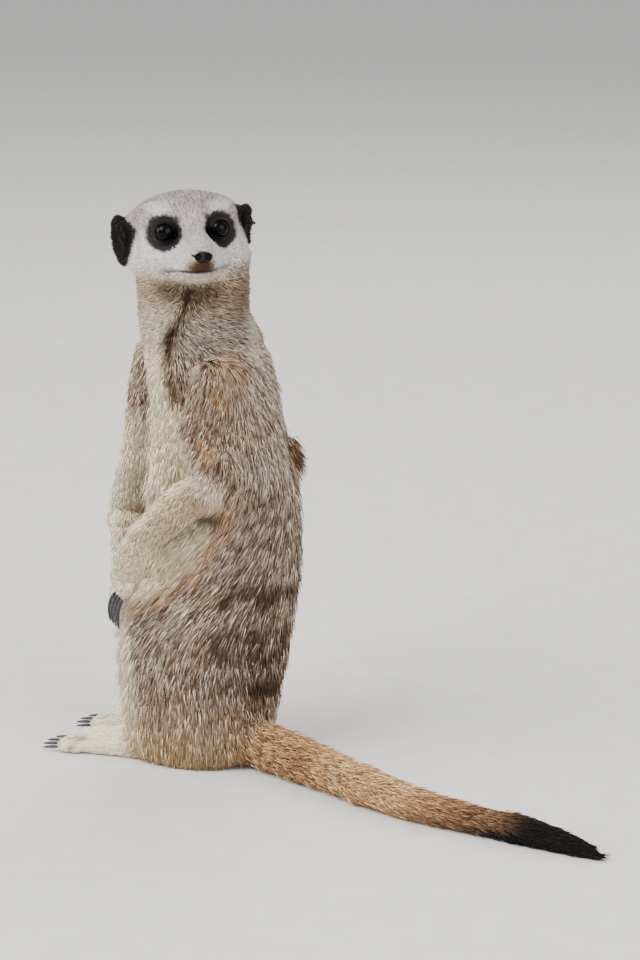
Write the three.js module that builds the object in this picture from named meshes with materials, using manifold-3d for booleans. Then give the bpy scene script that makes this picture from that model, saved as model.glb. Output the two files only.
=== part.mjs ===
// A life-size meerkat that sits upright on its haunches, with its chest turned to its left and its head turned
// further. Millimetres, +Z up. The hind feet point towards -Y, the animal's left side faces +X, and the origin is
// on the floor under the rump. Every solid reaches out to the tips of the coat.
import * as THREE from "three";
import { mergeVertices } from "three/addons/utils/BufferGeometryUtils.js";
import Module from "manifold-3d";

const wasm = await Module();
wasm.setup();

// Driving dimensions.
const GAP = 0.3; // between neighbouring solids
const FLOOR = 0;
const HUGE = 700; // edge of the blocks that trim a solid
const TURN = { pelvis: -17, waist: 8, chest: 33, neck: 62, head: 103 }; // yaw in degrees, 0 faces -Y
const PELVIS = { x: -5, y: 0, footSpread: 18.5, rightFootBack: 3.5 };
const SHOULDER = { height: 188, spread: 28, ahead: 14.5, bow: 6, top: 21, rightRise: 3.5 };
const CUTS = { haunch: 101, thigh: 13.5, belly: 150, neck: 212 };
const EYES_MID = new THREE.Vector3(23.5, -8.7, 269.4);
const HEAD_ROLL = 1.5; // raises the left side

const UP = new THREE.Vector3(0, 0, 1);
const radians = THREE.MathUtils.degToRad;

/** The level direction that a body part with this yaw faces. */
const facing = (yaw) => new THREE.Vector3(Math.sin(radians(yaw)), -Math.cos(radians(yaw)), 0);

/** The animal's left, for a body part with this yaw. */
const leftOf = (yaw) => facing(yaw).applyAxisAngle(UP, Math.PI / 2);

/** A point that lies ahead, to the left and above a base point, in the level frame of a yaw. */
function placed(base, yaw, ahead, left, up) {
  const level = base.clone().addScaledVector(facing(yaw), ahead).addScaledVector(leftOf(yaw), left);
  return level.addScaledVector(UP, up);
}

/** A manifold solid of a closed geometry. */
function solidOf(geometry) {
  geometry.deleteAttribute("normal");
  geometry.deleteAttribute("uv");
  const merged = mergeVertices(geometry, 1e-4);
  return new wasm.Manifold(
    new wasm.Mesh({
      numProp: 3,
      vertProperties: new Float32Array(merged.attributes.position.array),
      triVerts: new Uint32Array(merged.index.array),
    }),
  );
}

/** A mesh that shows a manifold solid. */
function meshOf(name, solid, material) {
  const made = solid.getMesh();
  const geometry = new THREE.BufferGeometry();
  geometry.setAttribute("position", new THREE.BufferAttribute(made.vertProperties, made.numProp));
  geometry.setIndex(new THREE.BufferAttribute(made.triVerts, 1));
  geometry.computeVertexNormals();
  const mesh = new THREE.Mesh(geometry, material);
  mesh.name = name;
  return mesh;
}

/** The part of a solid on the side of a plane that its normal points to. */
function kept(solid, point, normal) {
  const block = new THREE.BoxGeometry(HUGE, HUGE, HUGE);
  const turn = new THREE.Quaternion().setFromUnitVectors(UP, normal.clone().normalize());
  block.translate(0, 0, -HUGE / 2).applyQuaternion(turn).translate(point.x, point.y, point.z);
  return solid.subtract(solidOf(block));
}

const aboveFloor = (solid) => kept(solid, new THREE.Vector3(0, 0, FLOOR), UP);

/** A solid parted in two by a thin cut: the side that the normal points to comes first. */
function parted(solid, point, normal) {
  const half = normal.clone().normalize().multiplyScalar(GAP / 2);
  return [
    kept(solid, point.clone().add(half), normal),
    kept(solid, point.clone().sub(half), normal.clone().negate()),
  ];
}

/** A smooth line through points. */
const smooth = (points) => new THREE.CatmullRomCurve3(points, false, "catmullrom", 0.5);

/**
 * A closed body with egg-shaped sections along a smooth line. A station is { at, front, back, side, yaw }: the
 * section's middle, how far it reaches ahead, behind and sideways, and where it faces. blunt is 2 for the ends of
 * an egg and more for blunter ones; grow makes the body fatter, for cutting a neighbour with a gap.
 */
function loft(stations, { sides = 14, rings = 14, blunt = 4, grow = 0 } = {}) {
  const line = smooth(stations.map((s) => s.at));
  const sizes = smooth(stations.map((s) => new THREE.Vector3(s.front, s.back ?? s.front, s.side ?? s.front)));
  const yaws = smooth(stations.map((s) => new THREE.Vector3(s.yaw, 0, 0)));
  const geometry = new THREE.SphereGeometry(1, sides, rings);
  const position = geometry.attributes.position;
  const unit = new THREE.Vector3();
  for (let i = 0; i < position.count; i++) {
    unit.fromBufferAttribute(position, i);
    const along = THREE.MathUtils.clamp((1 - unit.y) / 2, 0, 1);
    const round = Math.pow(Math.max(0, 1 - Math.pow(Math.abs(unit.y), blunt)), 1 / blunt);
    const extra = round > 0 ? grow : 0;
    const ring = Math.hypot(unit.x, unit.z);
    const [cos, sin] = ring > 1e-6 ? [unit.x / ring, unit.z / ring] : [0, 0];
    const size = sizes.getPoint(along);
    const tangent = line.getTangent(along);
    const face = facing(yaws.getPoint(along).x);
    const ahead = face.addScaledVector(tangent, -face.dot(tangent)).normalize();
    const left = new THREE.Vector3().crossVectors(tangent, ahead);
    const reach = (cos > 0 ? size.x : size.y) * round + extra;
    const at = line.getPoint(along).addScaledVector(tangent, -unit.y * grow);
    at.addScaledVector(ahead, cos * reach).addScaledVector(left, sin * (size.z * round + extra));
    position.setXYZ(i, at.x, at.y, at.z);
  }
  return solidOf(geometry);
}

/** A frame for the head and face: ahead, left and up of the point between the eyes. */
const headFrame = (() => {
  const ahead = facing(TURN.head);
  const left = leftOf(TURN.head).applyAxisAngle(ahead, radians(HEAD_ROLL));
  const up = new THREE.Vector3().crossVectors(ahead, left);
  return new THREE.Matrix4().makeBasis(ahead, left, up).setPosition(EYES_MID);
})();

/** An ellipsoid whose axes are those of a frame, turned about its own middle. */
function ellipsoid(frame, at, radii, { turn = [0, 0, 0], sides = 14, rings = 10, grow = 0 } = {}) {
  const geometry = new THREE.SphereGeometry(1, sides, rings);
  geometry.scale(...radii.map((r) => r + grow));
  const angles = new THREE.Euler(...turn.map(radians), "ZYX");
  geometry.applyMatrix4(new THREE.Matrix4().makeRotationFromEuler(angles));
  geometry.translate(...at).applyMatrix4(frame);
  return solidOf(geometry);
}

// The head is one skin drawn over these swellings, in the head frame: where each sits and its three radii.
const SWELLINGS = {
  cranium: [[-21, 0, -3.5], [22.5, 24.3, 18.8]],
  occiput: [[-29, 0, -11], [16, 20.5, 15.5]],
  leftTemple: [[-22, 15, 0.6], [14, 13, 11.2]],
  rightTemple: [[-22, -15, -0.6], [14, 12.6, 11]],
  leftCheek: [[-15, 15.4, -13], [13.5, 16.6, 12]],
  rightCheek: [[-14, -14.8, -14.5], [13.5, 15.8, 12.2]],
  lowerFace: [[-5, 0, -15.5], [16, 18.5, 9.5]],
  muzzleRoot: [[0, 0, -10.5], [14, 11, 9]],
  bridge: [[5, 0, -5.8], [15, 5.8, 5.2]],
  muzzle: [[12, 0, -12], [10.5, 7.2, 6]],
  jaw: [[2, 0, -19.5], [14, 10, 6]],
  leftBrow: [[-9.5, 13, 5.5], [6, 7.5, 5]],
  rightBrow: [[-9.5, -13, 5.5], [6, 7.5, 5]],
};
const SKIN_BLEND = 2.2; // how softly the swellings run into each other
const EYE = { ahead: -4.2, spread: 12.9, up: -1, radius: 5.3 };
const NOSE = { at: [22.4, 0, -9.7], radii: [3.4, 4.9, 3.2] };

/** Roughly how far a head-frame point lies outside an ellipsoid. */
function outside(point, [at, radii]) {
  const scaled = [0, 1, 2].map((i) => (point.getComponent(i) - at[i]) / radii[i]);
  const reach = Math.hypot(...scaled);
  const slope = Math.hypot(...scaled.map((v, i) => v / radii[i]));
  return slope > 1e-9 ? (reach * (reach - 1)) / slope : -Math.min(...radii);
}

/** Roughly how far a head-frame point lies outside the head. */
function outsideHead(point) {
  const near = Object.values(SWELLINGS).map((s) => Math.exp(-outside(point, s) / SKIN_BLEND));
  return -SKIN_BLEND * Math.log(near.reduce((a, b) => a + b, 0));
}

/** The head: a ball, with a pole at the nose, whose points move out from its middle to the skin. */
function headSolid({ grow = 0, sides = 26, rings = 22 } = {}) {
  const middle = new THREE.Vector3(-13, 0, -8);
  const farthest = 50;
  const geometry = new THREE.SphereGeometry(1, sides, rings);
  geometry.rotateZ(-Math.PI / 2);
  const position = geometry.attributes.position;
  const way = new THREE.Vector3();
  const point = new THREE.Vector3();
  for (let i = 0; i < position.count; i++) {
    way.fromBufferAttribute(position, i).normalize();
    let [inner, outer] = [0, farthest];
    for (let reach = farthest; reach > 0; reach -= 1) {
      if (outsideHead(point.copy(middle).addScaledVector(way, reach)) < 0) {
        [inner, outer] = [reach, reach + 1];
        break;
      }
    }
    for (let step = 0; step < 12; step++) {
      const reach = (inner + outer) / 2;
      if (outsideHead(point.copy(middle).addScaledVector(way, reach)) < 0) inner = reach;
      else outer = reach;
    }
    point.copy(middle).addScaledVector(way, inner + grow).applyMatrix4(headFrame);
    position.setXYZ(i, point.x, point.y, point.z);
  }
  return solidOf(geometry);
}

function eyeSolid(side, grow = 0) {
  const at = [EYE.ahead, side * EYE.spread, EYE.up];
  return ellipsoid(headFrame, at, Array(3).fill(EYE.radius), { grow, sides: 12, rings: 7 });
}

const noseSolid = (grow = 0) => ellipsoid(headFrame, NOSE.at, NOSE.radii, { grow, sides: 10, rings: 6 });

// The ears: where each sits in the head frame, and its radii. The right one is held lower.
const EAR = {
  left: { at: [-25, 29, -5.6], radii: [8.7, 5, 12.3] },
  right: { at: [-25, -29.8, -7.8], radii: [8.7, 5.2, 12.8] },
};

/** A cupped ear: a flat egg that flares out backwards, with its outer side hollowed. */
function earSolid(side) {
  const { at, radii } = EAR[sideName(side)];
  const turn = [side * -10, 0, side * 28];
  const shell = ellipsoid(headFrame, at, radii, { turn, sides: 11, rings: 8 });
  const mouth = [at[0] + 3.5, at[1] + side * 4.6, at[2] + 0.5];
  const cup = ellipsoid(headFrame, mouth, [6, 4.2, 10], { turn, sides: 8, rings: 5 });
  return shell.subtract(cup);
}

// The torso, from the rump on the floor to the top of the neck: height, x, y, half depth, half width, yaw.
const TORSO = [
  [-9, -5, -2, 28, 23, TURN.pelvis],
  [14, -5, -3, 33, 27, TURN.pelvis],
  [45, -5, -1, 36.2, 29, TURN.pelvis],
  [75, -4.5, 2.4, 37.6, 31, -8],
  [105, -4, 5, 38.6, 32, TURN.waist - 4],
  [130, -3.5, 4.4, 38.4, 31, TURN.waist + 4],
  [150, -3, 3.1, 36.8, 29.5, 21],
  [170, -3, 1.4, 34.2, 28, 28],
  [190, -3, -1.4, 33.4, 27.4, TURN.chest],
  [205, -3, -5, 31, 28, 43],
  [218, -2, -9.2, 26.6, 28.8, 52],
  [234, -0.5, -9.8, 24.5, 29.4, TURN.neck],
  [262, 0, -11, 25.4, 33.6, 80],
];

function torsoSolid(grow = 0) {
  const stations = TORSO.map(([z, x, y, depth, side, yaw]) => ({
    at: new THREE.Vector3(x, y, z), front: depth, back: depth, side, yaw,
  }));
  return aboveFloor(loft(stations, { sides: 20, rings: 24, blunt: 9, grow }));
}

/** A folded hind leg: an egg that stands beside the rump and reaches ahead to the knee. */
function thighSolid(side, grow = 0) {
  const hip = new THREE.Vector3(PELVIS.x, PELVIS.y, 0);
  const rows = [
    // height, ahead, spread, front, back, side
    [-9, 5, 19, 22, 24, 14],
    [12, 6, 21, 31.5, 31, 17],
    [42, 7, 21.5, 35.5, 32, 17.5],
    [72, 6, 20, 36, 30, 16.5],
    [100, 0, 16, 28, 26, 14],
  ];
  const stations = rows.map(([up, ahead, spread, front, back, wide]) => ({
    at: placed(hip, TURN.pelvis, ahead, side * spread, up), front, back, side: wide, yaw: TURN.pelvis,
  }));
  return aboveFloor(loft(stations, { sides: 16, rings: 13, blunt: 4, grow }));
}

// The hind foot, flat on the floor: ahead of the hip, height of its middle, half height, half width.
const SOLE = [
  [20, 9, 9.5, 9],
  [36, 6.8, 8.2, 8.7],
  [54, 6, 7.6, 8.6],
  [66, 4.9, 6.2, 8.2],
  [73, 4, 4.8, 7.2],
];
const TOE = { start: 65, length: 12.5, radius: 3.2, step: 4.1, fan: 5 };
const HIND_CLAW = { length: 8.5, radius: 1.15, curl: new THREE.Vector3(0, 0, -0.35) };

/** A point of a hind foot, this far ahead of the hip, out from the foot's middle line and up. */
function footPoint(side, ahead, out, up) {
  const hip = new THREE.Vector3(PELVIS.x, PELVIS.y, 0);
  const back = side < 0 ? PELVIS.rightFootBack : 0;
  return placed(hip, TURN.pelvis, ahead - back, side * (PELVIS.footSpread + out), up);
}

/** One of the four toes of a hind foot, numbered from the inside out. */
function toeLine(side, number) {
  const offset = (number - 2.5) * TOE.step;
  const yaw = TURN.pelvis + (number - 2.5) * TOE.fan * side;
  const start = TOE.start - Math.abs(offset) * 0.5;
  const root = footPoint(side, start, offset, TOE.radius);
  const tip = placed(root, yaw, TOE.length, 0, -0.4);
  return { root, tip, yaw };
}

function footSolid(side) {
  const stations = SOLE.map(([ahead, up, high, wide]) =>
    ({ at: footPoint(side, ahead, 0, up), front: wide, side: high, yaw: TURN.pelvis + 90 }));
  const sole = loft(stations, { sides: 10, rings: 8, blunt: 4 });
  const toes = [1, 2, 3, 4].map((number) => {
    const { root, tip, yaw } = toeLine(side, number);
    const middle = root.clone().lerp(tip, 0.5).add(new THREE.Vector3(0, 0, 1));
    return loft([root, middle, tip].map((at, i) => ({
      at, front: TOE.radius * [1, 1, 0.9][i], side: TOE.radius * [1.3, 1.15, 0.95][i], yaw: yaw + 90,
    })), { sides: 6, rings: 4, blunt: 3 });
  });
  return aboveFloor(toes.reduce((all, toe) => all.add(toe), sole));
}

const way = (x, y, z) => new THREE.Vector3(x, y, z).normalize();

// The arms: where each elbow and wrist is, the ways that the hand and its fingers hang, the length from wrist to
// knuckles, and how far the arm reaches ahead of and behind its line from the elbow to the knuckles.
const ARM = {
  left: {
    elbow: new THREE.Vector3(35, 0.5, 147.5), wrist: new THREE.Vector3(31.5, -36, 119),
    hand: way(-0.14, -0.24, -0.96), fingers: way(-0.1, -0.56, -0.82), length: 25, depths: [12.6, 12.6, 11, 7.8, 7.2, 5],
  },
  right: {
    elbow: new THREE.Vector3(-15, -41.6, 121), wrist: new THREE.Vector3(6, -44.2, 101),
    hand: way(0.05, -0.24, -0.97), fingers: way(0.05, -0.3, -0.95), length: 14, depths: [12.2, 10.2, 8.6, 6.8, 6, 4],
  },
};
const HAND = { yaw: 20, finger: 7, radius: 2.6, step: 3.7, claw: 15, clawRadius: 1.35 };

const sideName = (side) => (side > 0 ? "left" : "right");

/** One arm from the shoulder through its elbow and wrist to the knuckles. */
function armStations(side) {
  const { elbow, wrist, hand, length, depths } = ARM[sideName(side)];
  const yaw = TURN.chest;
  const base = new THREE.Vector3(-2, -3, SHOULDER.height);
  const shoulder = placed(base, yaw, SHOULDER.ahead, side * SHOULDER.spread, 0);
  const half = shoulder.clone().lerp(elbow, 0.5);
  const top = SHOULDER.top + (side < 0 ? SHOULDER.rightRise : 0);
  const raised = elbow.clone().add(new THREE.Vector3(0, 0, 3));
  return [
    { at: placed(shoulder, yaw, -3, -side * 1, top), front: 13, back: 13, side: 9.5, yaw },
    { at: placed(shoulder, yaw, -1, 0, 3), front: 14, back: 17, side: 10.5, yaw },
    { at: placed(half, yaw, 0, -side * SHOULDER.bow, 0), front: 14.5, back: 15.5, side: 11.5, yaw },
    { at: raised, front: depths[0], side: 10.5, yaw },
    { at: raised.clone().lerp(wrist, 0.4), front: depths[1], side: 9.3, yaw },
    { at: elbow.clone().lerp(wrist, 0.75), front: depths[2], side: 8.3, yaw },
    { at: wrist, front: depths[3], side: 7, yaw: HAND.yaw },
    { at: wrist.clone().addScaledVector(hand, length * 0.55), front: depths[4], side: 7.6, yaw: HAND.yaw },
    { at: wrist.clone().addScaledVector(hand, length), front: depths[5], side: 6.6, yaw: HAND.yaw },
  ];
}

const armSolid = (side, grow = 0) => loft(armStations(side), { sides: 12, rings: 20, blunt: 5, grow });

/** One of the four fingers of a hand, numbered from the inside out. */
function fingerLine(side, number) {
  const { wrist, hand, fingers, length } = ARM[sideName(side)];
  const across = leftOf(HAND.yaw);
  const offset = (number - 2.5) * HAND.step;
  const root = wrist.clone().addScaledVector(hand, length - 2).addScaledVector(across, offset);
  const spread = fingers.clone().addScaledVector(across, (number - 2.5) * 0.06).normalize();
  return { root, tip: root.clone().addScaledVector(spread, HAND.finger), way: spread };
}

/** A curved claw from its root to its point. */
function clawSolid(root, way, length, radius, curl) {
  const shares = [0, 0.35, 0.7, 1];
  const thin = [1, 0.86, 0.55, 0.14];
  const line = shares.map((t) =>
    root.clone().addScaledVector(way, length * t).addScaledVector(curl, length * 0.3 * t * t));
  const stations = line.map((at, i) => {
    const thick = radius * thin[i];
    return { at, front: thick, side: thick * 0.75, yaw: HAND.yaw };
  });
  return loft(stations, { sides: 5, rings: 4, blunt: 6 });
}

// The tail lies along the floor: x, y, radius. Its underside is flat where it rests.
const TAIL = [
  [4, 8, 14.5],
  [20, 21, 13],
  [34, 34, 12.2],
  [52, 52, 11.2],
  [70, 68, 10.2],
  [86, 83, 9.3],
  [100, 99, 8.4],
  [111, 116, 7.6],
  [122, 134, 7],
  [133, 151, 6.3],
  [144, 167, 4.9],
  [152, 179, 2.4],
];
const TAIL_CUTS = { middle: 0.36, tip: 0.74 };

function tailSolid() {
  const dip = 0.6;
  return aboveFloor(loft(TAIL.map(([x, y, radius]) => ({
    at: new THREE.Vector3(x, y, radius - dip), front: radius, yaw: TURN.pelvis,
  })), { sides: 12, rings: 24, blunt: 5 }));
}

const group = new THREE.Group();
const coat = (color) => new THREE.MeshStandardMaterial({ color, roughness: 0.85, metalness: 0 });
const finish = {
  grizzled: coat(0x8f7a66),
  pale: coat(0xc9bda6),
  face: coat(0xcfc6bd),
  tail: coat(0xa9794a),
  black: coat(0x241b19),
  ear: coat(0x2a2120),
  claw: new THREE.MeshStandardMaterial({ color: 0x2f2d33, roughness: 0.45, metalness: 0 }),
  nose: new THREE.MeshStandardMaterial({ color: 0x3a2620, roughness: 0.5, metalness: 0 }),
  eye: new THREE.MeshStandardMaterial({ color: 0x0c0908, roughness: 0.08, metalness: 0 }),
};
const add = (name, solid, material) => group.add(meshOf(name, solid, material));

const trunk = torsoSolid().add(thighSolid(1)).add(thighSolid(-1));
const trunkRoom = torsoSolid(GAP).add(thighSolid(1, GAP)).add(thighSolid(-1, GAP));
const headRoom = headSolid({ grow: GAP });
const level = (height) => new THREE.Vector3(0, 0, height);
const [upperTrunk, haunches] = parted(trunk, level(CUTS.haunch), UP);
const [breast, belly] = parted(upperTrunk, level(CUTS.belly), UP);
const [neck, chest] = parted(breast, level(CUTS.neck), UP);
let rump = haunches;
for (const side of [1, -1]) {
  const across = leftOf(TURN.pelvis).multiplyScalar(side);
  const edge = new THREE.Vector3(PELVIS.x, 0, 0).addScaledVector(across, CUTS.thigh);
  const [thigh, rest] = parted(rump, edge, across);
  add(`${sideName(side)}_thigh`, thigh, finish.grizzled);
  rump = rest;
}
add("rump", rump, finish.grizzled);
add("belly", belly, finish.grizzled);
add("chest", chest, finish.grizzled);
add("neck", neck.subtract(headRoom), finish.grizzled);

const tailLine = smooth(TAIL.map(([x, y]) => new THREE.Vector3(x, y, 0)));
const tailCut = (solid, share) => parted(solid, tailLine.getPoint(share), tailLine.getTangent(share));
const [tailRest, tailRoot] = tailCut(tailSolid().subtract(trunkRoom), TAIL_CUTS.middle);
const [tailTip, tailMiddle] = tailCut(tailRest, TAIL_CUTS.tip);
add("tail_root", tailRoot, finish.tail);
add("tail_middle", tailMiddle, finish.tail);
add("tail_tip", tailTip, finish.black);

let face = headSolid();
for (const side of [1, -1]) face = face.subtract(eyeSolid(side, GAP));
add("head", face.subtract(noseSolid(GAP)), finish.face);
add("nose", noseSolid(), finish.nose);

for (const side of [1, -1]) {
  const name = sideName(side);
  add(`${name}_eye`, eyeSolid(side), finish.eye);
  add(`${name}_ear`, earSolid(side).subtract(headRoom).subtract(trunkRoom), finish.ear);

  const arm = armSolid(side).subtract(trunkRoom);
  const { elbow, wrist, hand: handWay } = ARM[name];
  const foreWay = wrist.clone().sub(elbow);
  const [fore, upper] = parted(arm, elbow.clone().addScaledVector(foreWay, 0.06), foreWay);
  const [hand, forearm] = parted(fore, wrist, handWay);
  add(`${name}_upper_arm`, upper, finish.pale);
  add(`${name}_forearm`, forearm, finish.pale);
  const fingers = [1, 2, 3, 4].map((number) => fingerLine(side, number));
  let whole = hand;
  for (const { root, tip } of fingers) {
    const bend = root.clone().lerp(tip, 0.5);
    const girth = { front: HAND.radius, side: HAND.radius * 0.85, yaw: HAND.yaw };
    whole = whole.add(loft([root, bend, tip].map((at) => ({ at, ...girth })), { sides: 5, rings: 4, blunt: 3 }));
  }
  const back = facing(HAND.yaw).negate();
  const nails = fingers.map(({ tip, way }) =>
    clawSolid(tip.clone().addScaledVector(way, GAP + 0.2), way, HAND.claw, HAND.clawRadius, back));
  add(`${name}_hand`, whole, finish.pale);
  nails.forEach((nail, i) => add(`${name}_hand_claw_${i + 1}`, nail, finish.claw));

  const foot = footSolid(side);
  add(`${name}_foot`, foot.subtract(trunkRoom), finish.pale);
  for (const number of [1, 2, 3, 4]) {
    const { tip, yaw } = toeLine(side, number);
    const root = placed(tip, yaw, GAP + 0.2, 0, 0.3);
    const nail = clawSolid(root, facing(yaw), HIND_CLAW.length, HIND_CLAW.radius, HIND_CLAW.curl);
    add(`${name}_foot_claw_${number}`, nail, finish.claw);
  }
}

export default group;
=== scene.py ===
"""A meerkat sitting upright at rest, life size: one skin, its coat of tufts, eyes and claws, dressed round
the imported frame. Lengths are metres in the frame's own axes, with +Z up and the floor at Z 0."""
from __future__ import annotations

import logging
import sys
from dataclasses import dataclass, field
from enum import Enum
from functools import cached_property
from math import cos, radians, sin

import bmesh
import bpy
import numpy as np
from mathutils import Matrix, Vector
from mathutils.bvhtree import BVHTree
from mathutils.kdtree import KDTree


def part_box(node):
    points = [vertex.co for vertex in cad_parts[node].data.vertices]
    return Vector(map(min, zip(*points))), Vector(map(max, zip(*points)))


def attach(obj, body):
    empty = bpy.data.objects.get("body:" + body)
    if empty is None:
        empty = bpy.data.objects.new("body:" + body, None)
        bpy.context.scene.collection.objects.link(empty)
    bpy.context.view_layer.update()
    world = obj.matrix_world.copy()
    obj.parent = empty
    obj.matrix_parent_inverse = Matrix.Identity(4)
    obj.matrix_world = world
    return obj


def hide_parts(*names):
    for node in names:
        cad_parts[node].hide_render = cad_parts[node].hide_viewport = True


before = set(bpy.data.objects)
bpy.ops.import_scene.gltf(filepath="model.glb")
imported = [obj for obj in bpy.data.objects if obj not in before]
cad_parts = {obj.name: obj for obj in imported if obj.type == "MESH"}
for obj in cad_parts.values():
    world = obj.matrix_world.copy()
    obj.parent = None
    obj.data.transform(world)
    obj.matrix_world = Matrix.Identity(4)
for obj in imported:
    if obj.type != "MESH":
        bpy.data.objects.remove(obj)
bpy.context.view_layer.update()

MM = 0.001
BODY = "root"
UP = np.array([0.0, 0.0, 1.0])
DIGITS = range(1, 5)
MERGE = 1e-6
Span = tuple[float, float]
Window = tuple[float, float, float, float]
log = logging.getLogger("meerkat")


class Side(Enum):
    """The animal's own left and right."""

    LEFT = "left"
    RIGHT = "right"

    @property
    def sign(self) -> float:
        """+1 on the animal's left, -1 on its right."""
        return 1.0 if self is Side.LEFT else -1.0


class Layer(Enum):
    """Where a finish lies: on the skin or on the coat over it."""

    SKIN = "skin"
    COAT = "coat"


@dataclass(frozen=True)
class Flesh:
    """One part of the body under the coat.

    Lengths are millimetres: depth is how far the skin lies inside the solid, length and width are those of
    a tuft, spacing the mean distance between roots. rounds smooths the skin, lift is how far tufts stand
    off it in degrees at the root, and clump how strongly their tips gather into locks.
    """

    node: str
    depth: float
    rounds: int
    length: float
    width: float
    spacing: float
    lift: float
    clump: float
    toward: str = ""


def both_sides(node: str, *sizes: float, toward: str = "") -> list[Flesh]:
    """The same part on the left and on the right.

    Args:
        node: the part's name without its side.
        sizes: depth, rounds, length, width, spacing, lift and clump.
        toward: the part that its coat points to, without its side.
    Returns:
        Two parts.
    """
    return [Flesh(f"{side.value}_{node}", *sizes, toward=f"{side.value}_{toward}" if toward else "")
            for side in Side]


FLESH: list[Flesh] = [
    Flesh("head", 1.5, 10, 4.4, 0.36, 0.43, 24, 0.22),
    Flesh("nose", 0.0, 4, 1.2, 0.24, 0.48, 14, 0.0),
    *both_sides("ear", 0.4, 4, 2.2, 0.32, 0.40, 26, 0.1),
    Flesh("neck", 2.6, 30, 6.0, 0.56, 0.58, 29, 0.45),
    Flesh("chest", 3.8, 44, 8.8, 0.62, 0.67, 30, 0.50),
    Flesh("belly", 4.0, 44, 9.8, 0.66, 0.69, 30, 0.48),
    Flesh("rump", 4.4, 44, 11.0, 0.70, 0.70, 30, 0.50),
    *both_sides("thigh", 4.2, 36, 10.5, 0.70, 0.69, 30, 0.50),
    *both_sides("upper_arm", 2.6, 22, 7.6, 0.58, 0.62, 26, 0.42, toward="forearm"),
    *both_sides("forearm", 1.8, 12, 5.4, 0.55, 0.58, 21, 0.44, toward="hand"),
    *both_sides("hand", 0.6, 6, 3.2, 0.36, 0.47, 14, 0.10, toward="hand_claw_2"),
    *both_sides("foot", 0.6, 6, 3.2, 0.36, 0.50, 12, 0.10, toward="foot_claw_2"),
    Flesh("tail_root", 3.2, 22, 9.0, 0.70, 0.68, 27, 0.40, "tail_middle"),
    Flesh("tail_middle", 2.5, 18, 8.0, 0.62, 0.66, 24, 0.35, "tail_tip"),
    Flesh("tail_tip", 1.3, 10, 7.5, 0.60, 0.52, 20, 0.35),
]
PART = {flesh.node: index for index, flesh in enumerate(FLESH)}
EYES = ("left_eye", "right_eye")


def column(name: str) -> np.ndarray:
    """One of the parts' sizes, in the order of FLESH."""
    return np.array([getattr(flesh, name) for flesh in FLESH], dtype=float)


def centre(node: str) -> np.ndarray:
    """The middle of a CAD node's box."""
    low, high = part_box(node)
    return (np.array(low) + np.array(high)) / 2


def unit(rows: np.ndarray) -> np.ndarray:
    """Each row at length 1, with nothing divided by zero."""
    return rows / np.maximum(np.linalg.norm(rows, axis=-1, keepdims=True), 1e-12)


def ease(values: np.ndarray, low: float, high: float) -> np.ndarray:
    """0 up to low, 1 from high, with a smooth step between; low may be the larger."""
    share = np.clip((values - low) / (high - low), 0.0, 1.0)
    return share * share * (3 - 2 * share)


def window(values: np.ndarray, start: float, full: float, fading: float, end: float) -> np.ndarray:
    """0 up to start, 1 from full to fading, 0 from end, with smooth steps between."""
    return ease(values, start, full) * ease(values, end, fading)


def across(normals: np.ndarray, ways: np.ndarray) -> np.ndarray:
    """The ways laid flat on surfaces with these normals, at length 1."""
    return unit(ways - normals * np.sum(ways * normals, axis=1, keepdims=True))


def link(name: str, data: bpy.types.ID) -> bpy.types.Object:
    """A new object for a mesh, lamp or camera, in the scene."""
    obj = bpy.data.objects.new(name, data)
    bpy.context.scene.collection.objects.link(obj)
    return obj


def finished(name: str, bm: bmesh.types.BMesh, material: bpy.types.Material | None = None) -> bpy.types.Mesh:
    """Turns a bmesh into a smoothly shaded mesh.

    Args:
        name: the mesh's name.
        bm: the bmesh, which is freed.
        material: its material, where it has one already.
    Returns:
        The mesh.
    """
    mesh = bpy.data.meshes.new(name)
    bm.to_mesh(mesh)
    bm.free()
    mesh.polygons.foreach_set("use_smooth", [True] * len(mesh.polygons))
    mesh.materials.clear()
    if material:
        mesh.materials.append(material)
    return mesh


def swollen(swell: float, *nodes: str) -> bmesh.types.BMesh:
    """A merged copy of CAD nodes, with every vertex moved outwards by `swell`.

    Args:
        swell: how far the vertices move.
        nodes: the names of the CAD nodes.
    Returns:
        The copy, to be freed.
    """
    bm = bmesh.new()
    for node in nodes:
        bm.from_mesh(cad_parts[node].data)
    bmesh.ops.remove_doubles(bm, verts=bm.verts, dist=MERGE)
    bm.normal_update()
    for vert in bm.verts:
        vert.co += vert.normal * swell
    return bm


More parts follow.
